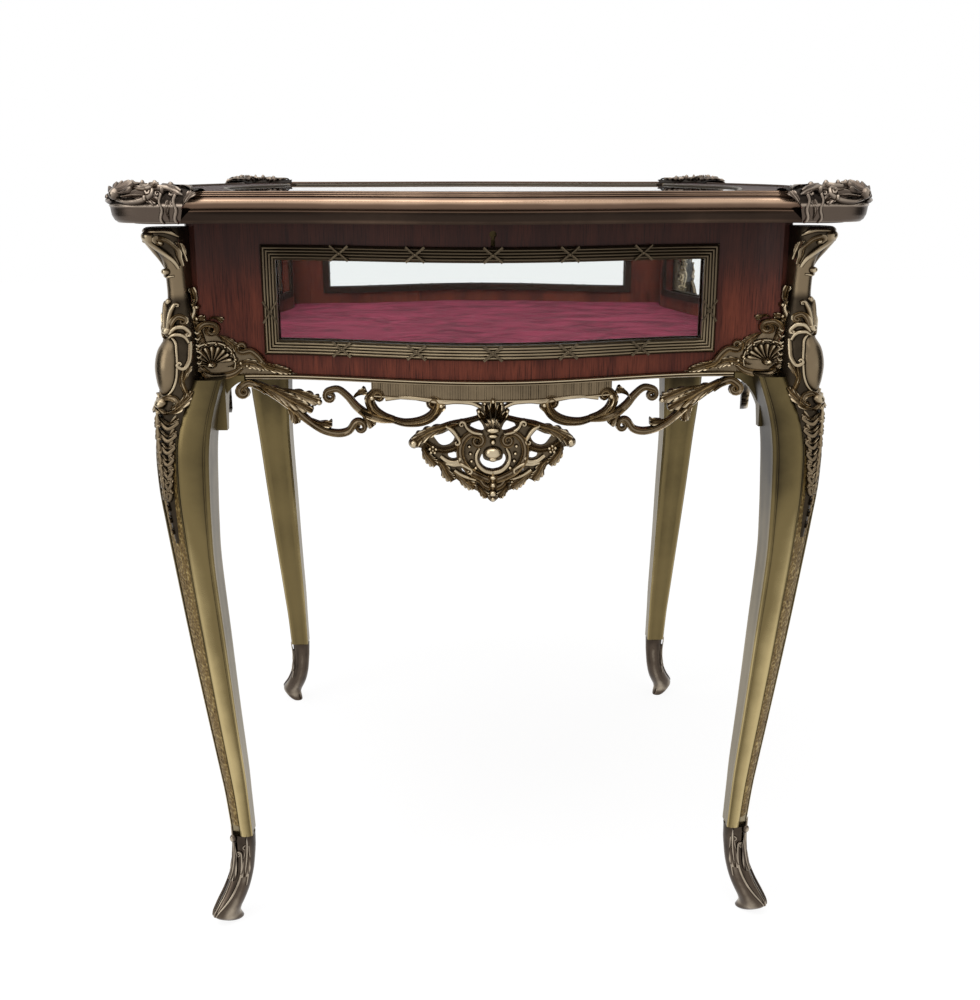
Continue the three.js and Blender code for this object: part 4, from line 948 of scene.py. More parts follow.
# Height, reach and radius of the mount's body, from its tail up
chute_line = even_path([
    (0.4270, 0.2985, 0.0030), (0.4560, 0.2985, 0.0075), (0.4800, 0.2965, 0.0120),
    (0.5090, 0.2950, 0.0155), (0.5300, 0.2940, 0.0170), (0.5490, 0.2930, 0.0178),
    (0.5610, 0.2925, 0.0168), (0.5710, 0.2905, 0.0160), (0.5830, 0.2895, 0.0168),
    (0.5960, 0.2892, 0.0170), (0.6100, 0.2880, 0.0160), (0.6190, 0.2865, 0.0140),
    (0.6280, 0.2860, 0.0135), (0.6400, 0.2860, 0.0122), (0.6560, 0.2860, 0.0098),
    (0.6700, 0.2862, 0.0095), (0.6830, 0.2868, 0.0098), (0.6920, 0.2877, 0.0108),
    (0.7005, 0.2900, 0.0135), (0.7080, 0.2925, 0.0165), (0.7150, 0.2932, 0.0172),
    (0.7205, 0.2920, 0.0160)], 150)
case_corner = 0.3895


def on_chute(across, up, proud):
    """Lays work on the corner mount; across runs round it from the diagonal."""
    reach, radius = (np.interp(up, chute_line[:, 0], chute_line[:, k]) for k in (1, 2))
    angle = across / np.maximum(radius, 0.010)
    return on_diagonal((radius + proud) * np.cos(angle) + reach * root_two,
                       (radius + proud) * np.sin(angle), up)


def chute_body(casting):
    """The body under the relief: round in front, and carried back to the case's corner."""
    web_start, web_half = 2.1, 0.0042
    angle = np.linspace(-math.pi, math.pi, 36, endpoint=False)
    up, reach, radius = chute_line[:, :1], chute_line[:, 1:2], chute_line[:, 2:3]
    centre = reach * root_two
    web = np.clip((np.abs(angle) - web_start) / (math.pi - web_start), 0, 1)
    out = centre + radius * np.cos(angle) * (1 - web) - web * (centre - case_corner)
    along = radius * np.sin(angle) * (1 - web) + np.sign(angle) * web * (1 - web ** 6) * web_half
    worked = np.interp(up, [0.55, 0.62, 0.655, 0.664, 0.688, 0.696],
                       [0.1, 0.1, 0.12, 0.55, 0.55, 0.15])
    casting.grid(on_diagonal(out, along, up), worked, around=True, capped=True)


def chute_half(work):
    """The ornament on one side of the corner mount's middle line."""
    # the flared top: a heavy roll, a scroll with its eye, and the rim under the lid
    work.stem([(12.5, 684), (10, 691), (6.5, 698), (2.5, 704.5), (0.5, 710)],
              [3.5, 5.5, 6.5, 7.5, 8], 4.2, rounded)
    work.stem([(15.5, 686.5), (16, 694), (19.5, 700.5), (18.5, 708.5), (12.5, 711.5)],
              [3, 4.5, 5.5, 5, 3.5], 3.8, hollow, (1, 3.2, 1.1))
    work.stem([(2, 717.5), (10, 718), (19, 717.5), (29, 713)], [4, 5, 5, 3], 3.0, rounded)
    work.leaf([(21, 690), (23.5, 698), (28, 707)], [4, 8, 4], 3.2, 3)
    work.boss(12, 707.5, 2.2, 4.6)
    # the crest over the cabochon: three plumes that curl out and down
    work.stem([(2, 628), (2.5, 637), (4, 646), (6.5, 652)], [4, 5, 4.5, 3], 4.6, rounded,
              (-1, 2.2, 0.8))
    work.stem([(3.5, 628), (6, 636), (10, 641.5), (15, 640)], [4, 5.8, 5.8, 4.5, 2.5], 5.0,
              hollow, (-1, 3.0, 1.0))
    work.stem([(4, 626), (9, 631.5), (15, 632), (20, 627.5)], [4.5, 5.8, 5.2, 3.5], 4.8, rounded,
              (-1, 2.6, 0.9))
    work.stem([(3, 622.5), (9, 625.5), (15.5, 624), (20.5, 618)], [4, 5, 4.5, 3], 4.2, rounded)
    # the frame beside the cabochon
    work.stem([(22, 619), (25, 611), (25.5, 602), (21, 595), (16.5, 596.5)], [4, 5, 5, 4.5, 3],
              3.6, rounded, (-1, 2.6, 0.9))
    work.stem([(20, 593), (18.5, 584), (20.5, 575), (24, 569)], [3, 5, 5, 4], 3.4, reeded)
    work.leaf([(17, 578), (22, 588), (27, 597)], [3, 6, 3], 2.6, 3)
    # the bracket under it: a heavy leaf scroll each way
    work.leaf([(2, 559), (8, 555.5), (16, 559), (22, 566), (27, 574)], [7, 11, 11, 8, 3], 5.6)
    work.stem([(1, 566), (7, 569), (13.5, 567.5), (17, 562)], [4, 5.5, 5, 3.5], 5.0, hollow,
              (-1, 3.0, 0.9))
    # scales and leaves down the knee
    for row in range(7):
        level = 547 - 11.5 * row
        wide = 18.5 - 2.1 * row
        work.stem([(1.0, level), (wide * 0.5, level - 6.5), (wide * 0.92, level - 2.0)],
                  [3, 4.8, 4.2, 2.2], 3.6, dull, (1, 2.2, 0.9))
        work.leaf([(2.5, level + 3.5), (wide * 0.55, level - 1.5), (wide * 0.95, level + 4.0)],
                  [4, 7.5, 2.5], 3.4, 3)


def chute_middle(work):
    """The cabochon in its ring, the bosses over and under it, and the husks of the tail."""
    work.boss(0, 596.5, 13.8, 5.6, 26.2, sides=40, rings=12, polish=0.5)
    work.stem([(15.2 * math.sin(angle), 596.5 + 27.8 * math.cos(angle))
               for angle in np.linspace(0, 2 * np.pi, 33)], [3, 3], 2.0, rounded)
    for level, half_width, half_height, rise in (
            (628.5, 5.2, 4.2, 5.8), (654.5, 3.0, 3.0, 3.8), (681, 4.5, 3.2, 4.8),
            (563.5, 6.6, 5.6, 6.6), (712, 7.8, 6.2, 5.2)):
        work.boss(0, level, half_width, rise, half_height)
    work.stem([(-8, 677.5), (0, 676.5), (8, 677.5)], [2, 3, 2], 2.2, rounded)
    for row in range(10):
        level = 553 - 12.5 * row
        size = 1 - 0.07 * row
        work.leaf([(0, level + 5), (0, level - 3 * size), (0, level - 11 * size)],
                  [5 * size, 11.5 * size, 2], 4.8 * size + 1.0, 3)
        work.boss(0, level + 2, 2.4 * size, 5.4 * size)


leg, stipple, foot, chute = Casting(), Casting(), Casting(on_foot), Casting(on_chute)
rings = [leg_ring(*station) for station in leg_line]
leg.grid(np.array([ring[0] for ring in rings]), np.array([ring[1] for ring in rings]),
         around=True, capped=True)
leg_brackets(leg)
leg_stipple(stipple)
scroll_foot(foot)
chute_body(chute)
for way in (-1, 1):
    chute_half(Relief(chute, way))
chute_middle(Relief(chute))
# the corner mount is darker towards its tail than in the middle, and darker at its top as painted
# shade under the lid
chute.heights = [heights * np.interp(places[:, 2], [0.43, 0.53, 0.58, 0.68, 0.72],
                                     [0.7, 0.74, 1.0, 1.0, 0.82])
                 for places, heights in zip(chute.places, chute.heights)]

for corner, turn in corner_turns.items():
    leg.part(f"{corner}_cabriole_leg", leg_brass, "case", [f"{corner}_leg"], "smooth_brass", turn, 32)
    stipple.part(f"{corner}_leg_stipple", stippled_brass, "case", (), "cast_brass", turn)
    foot.part(f"{corner}_scroll_foot", foot_bronze, "case", [f"{corner}_sabot"], "cast_brass", turn)
    chute.part(f"{corner}_corner_mount", cast_brass, "case", [f"{corner}_chute"], "cast_brass", turn)


# The pierced aprons

apron_seat, apron_back = 0.3, 3.0


def bottom_strip(casting):
    """The brass strip along the foot of the panel."""
    half = 0.2329
    x = np.linspace(-half, half, 73)[:, None]
    proud, up, shine = np.array([
        (-0.010, 0.5780, 0.1), (0.0036, 0.5780, 0.3), (0.0046, 0.5784, 0.8), (0.0046, 0.5792, 0.4),
        (0.0040, 0.5796, 0.1), (0.0044, 0.5801, 0.6), (0.0054, 0.5808, 1.0), (0.0054, 0.5816, 1.0),
        (0.0046, 0.5823, 0.8), (0.0030, 0.5827, 0.5), (-0.010, 0.5827, 0.1)]).T
    casting.laid(x, up, proud, shine, around=True, capped=True)


def plain_band(casting):
    """The band between the strip and the loops, scored upright all along."""
    half, dip, score, beat = 0.113, 0.0018, 0.0021, 0.0163
    x = np.linspace(-half, half, 340)[:, None]
    up = np.array([[0.5795, 0.5795, 0.5690, 0.5650, 0.5640, 0.5640]])
    up = up - dip * np.cos(x / half * math.pi / 2) * [0, 0, 1, 1, 1, 1]
    scored = 0.5 + 0.5 * np.sin(x * 2 * math.pi / score) * np.sin(x * 2 * math.pi / beat + 1)
    front = np.array([[0, 1, 1, 1, 0.7, 0]])
    proud = apron_seat * mm + front * (0.0022 + 0.0006 * scored)
    casting.laid(x, up, proud, front * (0.16 + 0.28 * scored) + 0.05, around=True, capped=True)
    Relief(casting, seat=apron_seat).stem(
        [(-113, 565.5), (-60, 564.3), (0, 563.8), (60, 564.3), (113, 565.5)], [3, 3], 4.2, rounded)


def scroll_band(work):
    """The pierced scrolls under the strip, on one half of a side."""
    # the long leaf and the stem that turns up into a volute
    work.stem([(214, 565), (222, 571), (231, 574), (238, 570)], [6, 8, 8, 7, 4], 5.6,
              curl=(-1, 5.0, 1.1))
    work.stem([(222, 572), (206, 563), (190, 551), (175, 538), (161, 529.5), (147, 527),
               (136, 530), (130, 538)], [7, 9, 9, 8, 7, 7, 7.5, 7, 5, 3.5], 5.6,
              curl=(1, 6.2, 1.2))
    work.leaf([(226, 575), (206, 566), (188, 556), (170, 548)], [8, 15, 14, 5], 6.6, 6)
    work.leaf([(204, 570), (190, 566.5), (176, 561.5), (163, 557)], [6, 12, 12, 4], 5.6, 4)
    work.leaf([(196, 556), (190, 547), (186, 535)], [8, 12, 4], 5.4, 4)
    work.leaf([(176, 543), (166, 537), (152, 536)], [5, 9, 3], 6.4, 3)
    work.boss(164, 556.5, 3.2, 6.0)
    # the stem that falls from the strip to the loops
    work.stem([(92, 543), (106, 543.5), (118, 547), (128, 554), (136, 563), (145, 569.5),
               (154, 568)], [6, 8, 8.5, 7.5, 6.5, 6, 5, 3.5], 5.6, curl=(-1, 5.6, 1.15))
    work.leaf([(126, 551), (119, 544), (112, 536)], [5, 10, 3], 5.6, 3)
    work.leaf([(132, 560), (127, 566), (118, 570)], [4, 9, 3], 5.2, 3)
    # the open loops
    work.stem([(92, 543.5), (102, 546), (111, 551.5), (115, 560), (111, 567)],
              [6, 8, 10, 10, 7, 4], 6.0, reeded, (1, 4.8, 1.0))
    work.stem([(96, 544), (82, 541), (67, 543), (56, 549), (51, 557.5)],
              [6, 7.5, 9, 10, 8, 4], 6.0, reeded, (-1, 5.2, 1.2))
    work.stem([(100, 563), (80, 565.5), (60, 564), (46, 562), (34, 563), (20, 562), (11, 558)],
              [5, 4, 5, 6, 5, 5, 4], 4.6, rounded)
    work.leaf([(60, 546), (52, 552), (47, 561)], [6, 11, 4], 6.6, 3)
    work.leaf([(108, 549), (114, 556), (116, 565)], [5, 10, 4], 6.6, 3)
    work.boss(113, 563.5, 3.4, 6.6)
    work.boss(48, 559, 3.0, 6.6)


def pendant_half(work):
    """Half of the pendant that hangs under the middle of a side."""
    # the arm and its leafy wing
    work.stem([(6, 549.5), (14, 547.5), (24, 544.5), (36, 541.5), (50, 537)], [4, 5, 6, 7, 6],
              5.4, reeded)
    work.leaf([(32, 543.5), (46, 539), (60, 533), (71, 525), (76, 518)], [6, 11, 13, 10, 4], 6.2)
    work.boss(74.5, 522, 4.6, 7.4)
    work.stem([(44, 540), (38, 536.5), (33.5, 531), (31, 526)], [5, 6, 5, 3.5], 5.8, rounded,
              (1, 3.0, 0.8))
    work.stem([(10, 533), (18, 534.5), (24, 538.5), (26, 543)], [4.5, 5.5, 5, 3.5], 5.6, rounded,
              (-1, 3.0, 1.0))
    # the lower edge of the wing, its flower and the falling leaves
    work.stem([(32, 524), (36, 519), (46, 516.5), (56, 519), (65, 525), (71, 530)],
              [6, 6.5, 6, 6, 6, 5], 5.0, reeded)
    work.leaf([(62, 524), (64, 517), (60, 509), (53, 502)], [7, 12, 12, 6], 6.0)
    work.leaf([(54, 508), (47, 502), (43, 494), (37, 488)], [8, 13, 12, 5], 5.8)
    work.leaf([(40, 498), (32, 493), (25, 487), (17, 481)], [7, 12, 12, 5], 5.6)
    for angle in np.arange(5) * 2 * math.pi / 5:
        work.boss(56 + 3.0 * math.sin(angle), 517 + 3.0 * math.cos(angle), 2.3, 6.6)
    work.boss(56, 517, 1.8, 8.0)
    work.stem([(49, 511), (42, 506), (34, 505.5), (30, 510)], [5, 6, 6, 5], 4.6, rounded)
    work.stem([(44, 504), (37, 503), (29, 503.5), (21, 499.5)], [4, 5.5, 5.5, 5, 3.5], 5.0,
              rounded, (1, 3.0, 0.9))
    work.stem([(36, 498), (30, 494), (23, 491), (16, 489)], [5, 5, 5, 4], 4.8, rounded)
    # the lyre round the cabochon, with its volute
    work.stem([(3, 489), (13, 493), (22, 498.5), (28.5, 507), (30.5, 517), (27.5, 527),
               (20.5, 533), (13.5, 532)], [7, 8, 8.5, 8.5, 8, 7.5, 7, 6, 4.5, 3], 6.6,
              curl=(1, 5.8, 1.4))
    work.stem([(0.5, 495.8), (8, 498), (14, 504), (15.5, 512), (12.5, 519.5)],
              [6, 6, 5.5, 5, 4], 5.0, rounded)
    work.stem([(2, 481), (8, 484), (12, 489), (17.5, 491)], [5, 6, 6, 5, 3.5], 6.0,
              curl=(-1, 3.4, 1.0))
    work.leaf([(15, 486), (11, 479), (5, 472)], [6, 10, 4], 5.4, 4)
    for x, z in ((21, 514), (20, 507), (16, 500.5), (22, 521)):
        work.boss(x, z, 2.2, 5.2)
    # the palmette
    work.leaf([(1.0, 538), (4, 548), (6.5, 560.5)], [3, 6, 3.5], 7.2, 1)
    work.leaf([(2.0, 537), (7.5, 546), (12.5, 553.5)], [3, 6, 3.5], 6.6, 1)
    work.boss(7.6, 562, 2.2, 7.2)
    work.boss(13.2, 554.5, 2.4, 6.8)


def pendant_middle(casting):
    """The pendant's pierced ground, and what stands on its middle line."""
    half = [(0, 566), (9, 564), (11.5, 556), (15, 550), (24, 546.5), (36, 545), (46, 541.5),
            (57, 538), (66, 534.5), (73, 530), (79, 522.5), (75.5, 517.5), (69, 518),
            (64.5, 516), (62, 509.5), (56, 504.5), (50, 500), (45.5, 497.5), (45, 491.5),
            (39, 487), (33, 489), (27, 486.5), (22, 481.5), (14, 477.5), (8, 474), (4, 469.5),
            (0, 467)]
    openings = [
        [(56, 530), (48, 532), (41, 535.5), (36, 536.5), (35.5, 531), (37, 525.5), (42, 521.5),
         (49, 521.5)],
        [(21.5, 539.8), (18.5, 544.5), (13.5, 545.5), (10, 542), (8.5, 536.5), (14, 536.5)],
        [(42, 513), (39.5, 515.2), (34, 514.5), (32.5, 510.5), (37, 508.5), (41, 510)],
        [(29, 500.5), (24.5, 500), (20, 497.5), (19.5, 495), (25, 495), (29, 497.5)]]
    crescent = [(-10, 514), (-8, 508.5), (0, 506.5), (8, 508.5), (10, 514), (12, 508),
                (8, 501.5), (0, 499), (-8, 501.5), (-12, 508)]
    work = Relief(casting, 1, apron_seat, apron_back)
    mirrored = Relief(casting, -1)
    outlines = [work.at(half) + mirrored.at(half[-2:0:-1])]
    for opening in openings:
        outlines += [mirrored.at(opening), work.at(opening)]
    plate(casting, outlines + [work.at(crescent)], 0.0012, (apron_seat - apron_back) * mm, 0.22)
    work.leaf([(0, 536), (0, 549), (0, 564)], [3, 6.8, 4], 7.8, 1)
    work.stem([(0, 496), (0, 486), (0, 474)], [10, 9, 6], 5.4, reeded)
    work.boss(0, 515, 9.2, 8.6, 6.8, sides=28, rings=9)
    for level, half_width, half_height, rise in (
            (564, 2.6, 3.0, 7.8), (536.5, 7.5, 3.4, 7.0), (531, 5.6, 2.6, 6.2),
            (525.5, 3.2, 3.2, 7.8), (509.5, 5.2, 3.4, 7.8), (491.5, 4.0, 3.0, 7.2),
            (484.5, 3.4, 3.4, 7.8), (476.2, 4.0, 3.8, 7.4), (470.5, 2.6, 3.0, 6.2)):
        work.boss(0, level, half_width, rise, half_height)


plain_apron, hung_apron = Casting(on_face), Casting(on_face)
for casting in (plain_apron, hung_apron):
    bottom_strip(casting)
    plain_band(casting)
    for way in (-1, 1):
        scroll_band(Relief(casting, way, apron_seat, apron_back))
for way in (-1, 1):
    pendant_half(Relief(hung_apron, way, apron_seat, apron_back))
pendant_middle(hung_apron)


# The spandrels on the panel ends

def on_panel_end(across, up, proud):
    """Lays work on the end of the panel, and on past it in front of the corner mount."""
    end_x, _ = face_end(case_plan)
    slope = 0.7
    run = np.abs(across)
    past = np.clip(run - end_x, 0, None)
    reach = face_reach(case_plan, np.minimum(run, end_x)) + past * slope
    return np.stack([across, -(reach + proud), up], -1)


def spandrel(work):
    """Leaf along the strip, fan shell, and a bud that climbs the corner."""
    ground = work.at([(277, 634), (272, 634), (264, 632), (256, 630), (255, 621), (247, 615),
                      (240, 606), (230, 604), (222, 600), (210, 590), (190, 584.5),
                      (190, 583.2), (262, 583.2), (271, 588), (277, 598)])
    plate(work.casting, [ground], 0.0016, -0.0006, 0.32)
    # the bud on its stem, climbing the corner
    work.stem([(274, 628), (275, 637), (272, 645), (274, 652)], [6, 5.5, 4.5, 3.5], 5.0, rounded)
    work.leaf([(274, 647), (271.5, 656), (273.5, 666)], [5, 7, 3.5], 5.8, 1)
    for x, z, size in ((270, 648.5, 2.6), (276, 642, 2.6), (270.5, 638, 2.4)):
        work.boss(x, z, size, 5.8)
    work.leaf([(276, 630), (271, 637), (264, 638)], [5, 8, 3], 5.0, 4)
    # the spine down the corner, with its scales
    work.stem([(276, 632), (277, 618), (276.5, 605), (273, 595), (265, 586)], [7, 7, 7, 7, 6], 5.2)
    for drop in 5.6 * np.arange(6):
        work.stem([(273, 626 - drop), (270.5, 624.5 - drop), (268.5, 627 - drop)], [3, 4, 2.5],
                  6.0, rounded)
    # the scroll over the shell
    work.stem([(266, 612), (268.5, 620), (270, 628), (265, 632.5), (259, 631.5)],
              [5, 6, 6.5, 6, 5.5, 4.5, 3], 6.8, curl=(1, 5.2, 1.3))
    work.leaf([(257, 622), (251, 618.5), (244, 612), (237, 604)], [5, 9, 8, 3], 5.0)
    work.leaf([(262, 636), (257, 637.5), (250, 634)], [4, 6, 2.5], 4.4, 3)
    # the shell in its ring of knobs
    work.shell(261, 594.5, 17.8, 7.2, -1.55, 1.75, 10)
    rim = [(261 + 19.8 * math.sin(turn), 595 + 19.8 * math.cos(turn))
           for turn in np.linspace(-1.9, 1.7, 15)]
    work.stem(rim, [2.4, 3.4, 3.4, 2.4], 5.6, rounded)
    for turn in np.linspace(-1.5, 1.4, 8):
        work.boss(261 + 19.4 * math.sin(turn), 594.5 + 19.4 * math.cos(turn), 2.1, 7.4)
    work.boss(261, 594, 4.4, 8.0, 3.8)
    work.leaf([(268.5, 590), (271.5, 584), (272.5, 577)], [5, 8, 3], 6.0, 1)
    # the swirl under it and the scroll that lies along the strip
    work.stem([(270, 588), (262, 583.5), (252, 582.2), (243, 584), (236, 589)], [5, 7, 8, 7, 5], 6.0)
    work.stem([(205, 588), (214, 591.5), (220, 599), (227, 604.5), (234.5, 603.5)],
              [5, 7, 7.5, 7, 6, 5, 3], 6.2, curl=(1, 4.6, 1.3))
    work.leaf([(248, 590), (236, 592), (226, 592), (214, 588)], [7, 11, 10, 5], 4.8)
    work.leaf([(222, 594), (212, 590), (201, 587), (189, 584.5)], [8, 10, 8, 3], 5.0)
    for x, z in ((241, 597), (236.5, 593.5), (231, 590.5)):
        work.boss(x, z, 2.4, 6.4)


spandrels = {"right": Casting(on_panel_end), "left": Casting(on_panel_end)}
spandrel(Relief(spandrels["right"], 1))
spandrel(Relief(spandrels["left"], -1))

for side, turn in side_turns.items():
    apron = hung_apron if side in ("front", "rear") else plain_apron
    apron.part(f"{side}_pierced_apron", cast_brass, "case", [f"{side}_apron"], "cast_brass", turn)
    for name, casting in spandrels.items():
        casting.part(f"{side}_shell_mount_{name}", cast_brass, "case",
                     [f"{side}_spandrel_{name}"], "cast_brass", turn)


# The lid

def carried(lines, levels):
    """A moulding carried round: closed lines in plan, each at its own level."""
    places = np.stack([np.column_stack([line, np.full(len(line), level)])
                       for line, level in zip(lines, levels)], 1)
    return np.vstack([places, places[:1]])


def moulding(section, plan):
    """A ring from a section of out, height and polish."""
    out, levels, shine = np.array(section).T
    ring = Casting()
    ring.grid(carried([ring_line(plan, step) for step in out], levels), shine, around=True)
    return ring


def lid_section():
    """The lid's edge: a deep cove, a fat round, then fine reeds stepping in."""
    section = [(-0.0135, 0.7240, 0.1), (-0.0104, 0.7240, 0.1), (-0.0100, 0.7250, 0.15),
               (-0.0104, 0.7260, 0.2), (-0.0104, 0.7280, 0.05), (-0.0096, 0.7304, 0.05),
               (-0.0078, 0.7326, 0.1), (-0.0054, 0.7340, 0.2), (-0.0046, 0.7345, 0.4),
               (-0.0042, 0.7352, 0.5), (-0.0046, 0.7359, 0.2)]
    for angle in np.linspace(-math.pi / 2, math.pi / 2, 13):
        # painted highlight: a thin bright line along the round, a little above its middle
        painted_highlight = math.exp(-((angle - 0.35) / 0.35) ** 2)
        section.append((-0.0056 + 0.0056 * math.cos(angle), 0.7415 + 0.0055 * math.sin(angle),
                        0.3 + 0.25 * math.cos(angle) + 0.45 * painted_highlight))
    section += [(-0.0064, 0.7472, 0.05)]
    for reed in range(3):
        for angle in np.linspace(0, math.pi, 5):
            section.append((-0.0062 - 0.0013 * reed + 0.0010 * math.sin(angle),
                            0.7473 + 0.0015 * (reed + (1 - math.cos(angle)) / 2),
                            0.05 + 0.75 * math.sin(angle)))
    return section + [(-0.0096, 0.7520, 0.4), (-0.0116, 0.7520, 0.7), (-0.0135, 0.7506, 0.2)]


glass_bead = [(0.0077, 0.7486, 0.2), (0.0077, 0.7499, 0.6), (0.0064, 0.7503, 1.0),
              (0.0040, 0.7498, 0.8), (0.0020, 0.7488, 0.4), (0.0020, 0.7486, 0.2)]
moulding(lid_section(), lid_plan).part(
    "lid_reeded_edge", lid_bronze, "lid", ["lid_edge_moulding"], "cast_brass", crease=30)
moulding(glass_bead, lid_opening_plan).part(
    "lid_glass_slip", frame_brass, "lid", ["lid_glass_bead"], "smooth_brass")


def lid_frame():
    """The lid's wooden frame, rebated for the glass and let in for its hardware."""
    behind_moulding, rebate_width = 0.0136, 0.008
    outer, inner = ring_line(lid_plan, -behind_moulding), ring_line(lid_opening_plan)
    step = ring_line(lid_opening_plan, rebate_width)
    wood = Casting()
    wood.grid(carried([outer, outer, step, step, inner, inner],
                      [lid_bottom, lid_frame_top, lid_frame_top, glass_rebate, glass_rebate,
                       lid_bottom]), 0.6, around=True)
    piece = wood.part("lid_frame_veneer", rail_wood, "lid", ["lid_frame"], "kingwood")
    faced_outward(piece.data, join=1e-6)
    for node in ("hinge_lid_leaf_left", "hinge_lid_leaf_right", "lock_link_plate"):
        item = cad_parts[node]
        corners = np.array([item.matrix_world @ Vector(corner) for corner in item.bound_box])
        low, high = corners.min(axis=0) - fit, corners.max(axis=0) + fit
        room = Casting()
        room.grid(np.array([[(low[0], low[1], z), (high[0], low[1], z), (high[0], high[1], z),
                             (low[0], high[1], z)] for z in (low[2], high[2])]),
                  0.1, around=True, capped=True)
        cut_by(piece, room)


lid_frame()

# The lid's corner mounts: a wrapped shell of relief, given by how far it runs along
# the edge from the corner, and how far up and over its section
wrap_section = np.array([
    (-0.0010, 0.7258), (0.0030, 0.7272), (0.0052, 0.7315), (0.0060, 0.7365), (0.0058, 0.7415),
    (0.0048, 0.7462), (0.0030, 0.7502), (-0.0006, 0.7532), (-0.0068, 0.7544), (-0.0140, 0.7542),
    (-0.0210, 0.7535), (-0.0260, 0.7508)])
wrap_steps = np.linalg.norm(np.diff(wrap_section, axis=0), axis=1)
wrap_length = np.concatenate([[0], np.cumsum(wrap_steps)])
wrap_half = 0.0715
wrap_top_from = 0.020
corner_arc = eighth * lid_plan["radius"]


def on_lid_corner(across, up, proud):
    """Lays work on the corner of the lid: across along its edge, up over its section."""
    run = np.abs(across)
    fall = np.interp(run, [0.0, 0.030, wrap_half], [1.15, 1.1, 0.45])
    proud = proud * np.where(up > wrap_top_from, fall, 1.0)
    out, height = (np.interp(up, wrap_length, line) for line in wrap_section.T)
    ahead_out, ahead_height = (np.interp(up + mm, wrap_length, line) for line in wrap_section.T)
    size = np.sqrt((ahead_out - out) ** 2 + (ahead_height - height) ** 2) + 1e-9
    radius = lid_plan["radius"] + out + proud * (ahead_height - height) / size
    height = height - proud * (ahead_out - out) / size
    diagonal = np.minimum(run / corner_arc, 1) * eighth - eighth
    x = lid_plan["centre"] + radius * np.cos(diagonal)
    y = radius * np.sin(diagonal) - lid_plan["centre"] + np.maximum(run - corner_arc, 0)
    flip = across < 0
    return np.stack([np.where(flip, -y, x), np.where(flip, -x, y), height], -1)


def lid_mount_ground(casting):
    """The wrapped sheet under the relief, with its two ribs and its rough top."""
    over_length = wrap_length[-1]
    across = np.linspace(-wrap_half, wrap_half, 101)[:, None]
    over = np.linspace(0, over_length, 46)[None, :]
    ribs = sum(rise * np.exp(-((over - middle) / spread) ** 2)
               for middle, spread, rise in ((0.0175, 0.0012, 0.0014), (0.0015, 0.0010, 0.0010)))
    rough = 0.0006 * np.sin(across * 900 + 3 * np.sin(over * 500)) * (over > wrap_top_from)
    shine = np.where(over > 0.0195, 0.05, 0.5) + 0.4 * (ribs > 0.0006)
    slant = np.interp(over, [0.0, 0.018, 0.034, over_length], [0.74, 0.80, 0.97, 1.0])
    casting.laid(across * slant, over, ribs + rough, shine)
    casting.laid(across * slant[:, [0, -1]], np.array([[0.0, over_length]]), -0.002, 0.1)


def lid_mount_half(work):
    """The ornament on one side of the corner."""
    # the two waved ribs that close the mount
    for run, width in ((51, 4.2), (39, 3.6)):
        work.stem([(run + 0.5, 1.0), (run - 1.5, 7), (run + 0.5, 14), (run - 1.5, 21), (run, 27)],
                  [width * 0.8, width, width * 0.8, width, 2.5], 2.2, rounded, (1, 3.0, 1.0))
    work.leaf([(45, 4), (44, 13), (46, 22)], [3, 6, 3], 1.8, 3)
    work.leaf([(56, 14), (60, 22), (66, 30)], [3, 8, 4], 2.6, 3)
    # the leaves and curls over the corner
    work.leaf([(58, 26), (46, 32), (32, 36), (17, 40)], [8, 15, 15, 6], 4.4)
    work.leaf([(8, 24), (18, 26), (28, 25), (36, 21)], [6, 11, 10, 4], 4.0, 4)
    work.leaf([(66, 30), (60, 40), (50, 48), (36, 52)], [7, 15, 13, 5], 5.2)
    work.leaf([(6, 40), (16, 47), (30, 50)], [6, 13, 4], 5.0, 4)
    work.stem([(4, 22), (12, 20.5), (22, 21.5), (30, 25)], [3.5, 5, 5, 3], 4.2, rounded,
              (1, 4.2, 1.2))
    work.stem([(56, 30), (47, 37), (38, 44), (44, 50)], [3, 5, 5, 3], 4.6, rounded,
              (-1, 4.2, 1.2))
    work.stem([(12, 34), (20, 31), (28, 31), (33, 35)], [3, 5, 4.5, 3], 5.4, hollow,
              (1, 3.6, 1.2))
    for run, up, size in ((19, 43, 3.6), (31, 44, 3.2), (45, 42, 3.4), (26, 23, 2.6), (40, 30, 2.8)):
        work.boss(run, up, size, 6.4)


mount = Casting(on_lid_corner)
lid_mount_ground(mount)
for way in (-1, 1):
    lid_mount_half(Relief(mount, way))
mount_middle = Relief(mount)
mount_middle.shell(0, 26, 17, 6.6, -1.5, 1.5, 9)
mount_middle.boss(0, 26, 5.2, 7.0, 4.4)
mount_middle.leaf([(0, 42), (0, 49), (0, 56)], [6, 12, 4], 4.4, 3)
for corner, turn in corner_turns.items():
    mount.part(f"lid_corner_shell_{corner}", mount_bronze, "lid", [f"lid_corner_mount_{corner}"],
               "cast_brass", turn)


# Floor, light and camera

def plain_floor():
    """A floor that is white to the camera, metal and glass, with a faint shadow kept."""
    glow, shadow_kept = 1.15, 0.22
    material, wiring, shader = new_material("pale floor")
    cloud = wiring.noise(wiring.place(), 3.0)
    wiring.feed(shader, {"Base Color": wiring.mixed(cloud, (0.9, 0.9, 0.9, 1), (0.92, 0.92, 0.92, 1)),
                         "Roughness": 0.9, "Specular IOR Level": 0.0})
    lit = shader.outputs[0]
    white = wiring.node("ShaderNodeEmission", {"Color": (1, 1, 1, 1), "Strength": glow}).outputs[0]
    shown = wiring.layered(wiring.seen(), lit, wiring.layered(shadow_kept, white, lit))
    wiring.feed(wiring.tree.nodes["Material Output"], {"Surface": shown})
    bpy.ops.mesh.primitive_plane_add(size=14)
    floor = bpy.context.object
    floor.name = "floor"
    floor.data.materials.append(material)


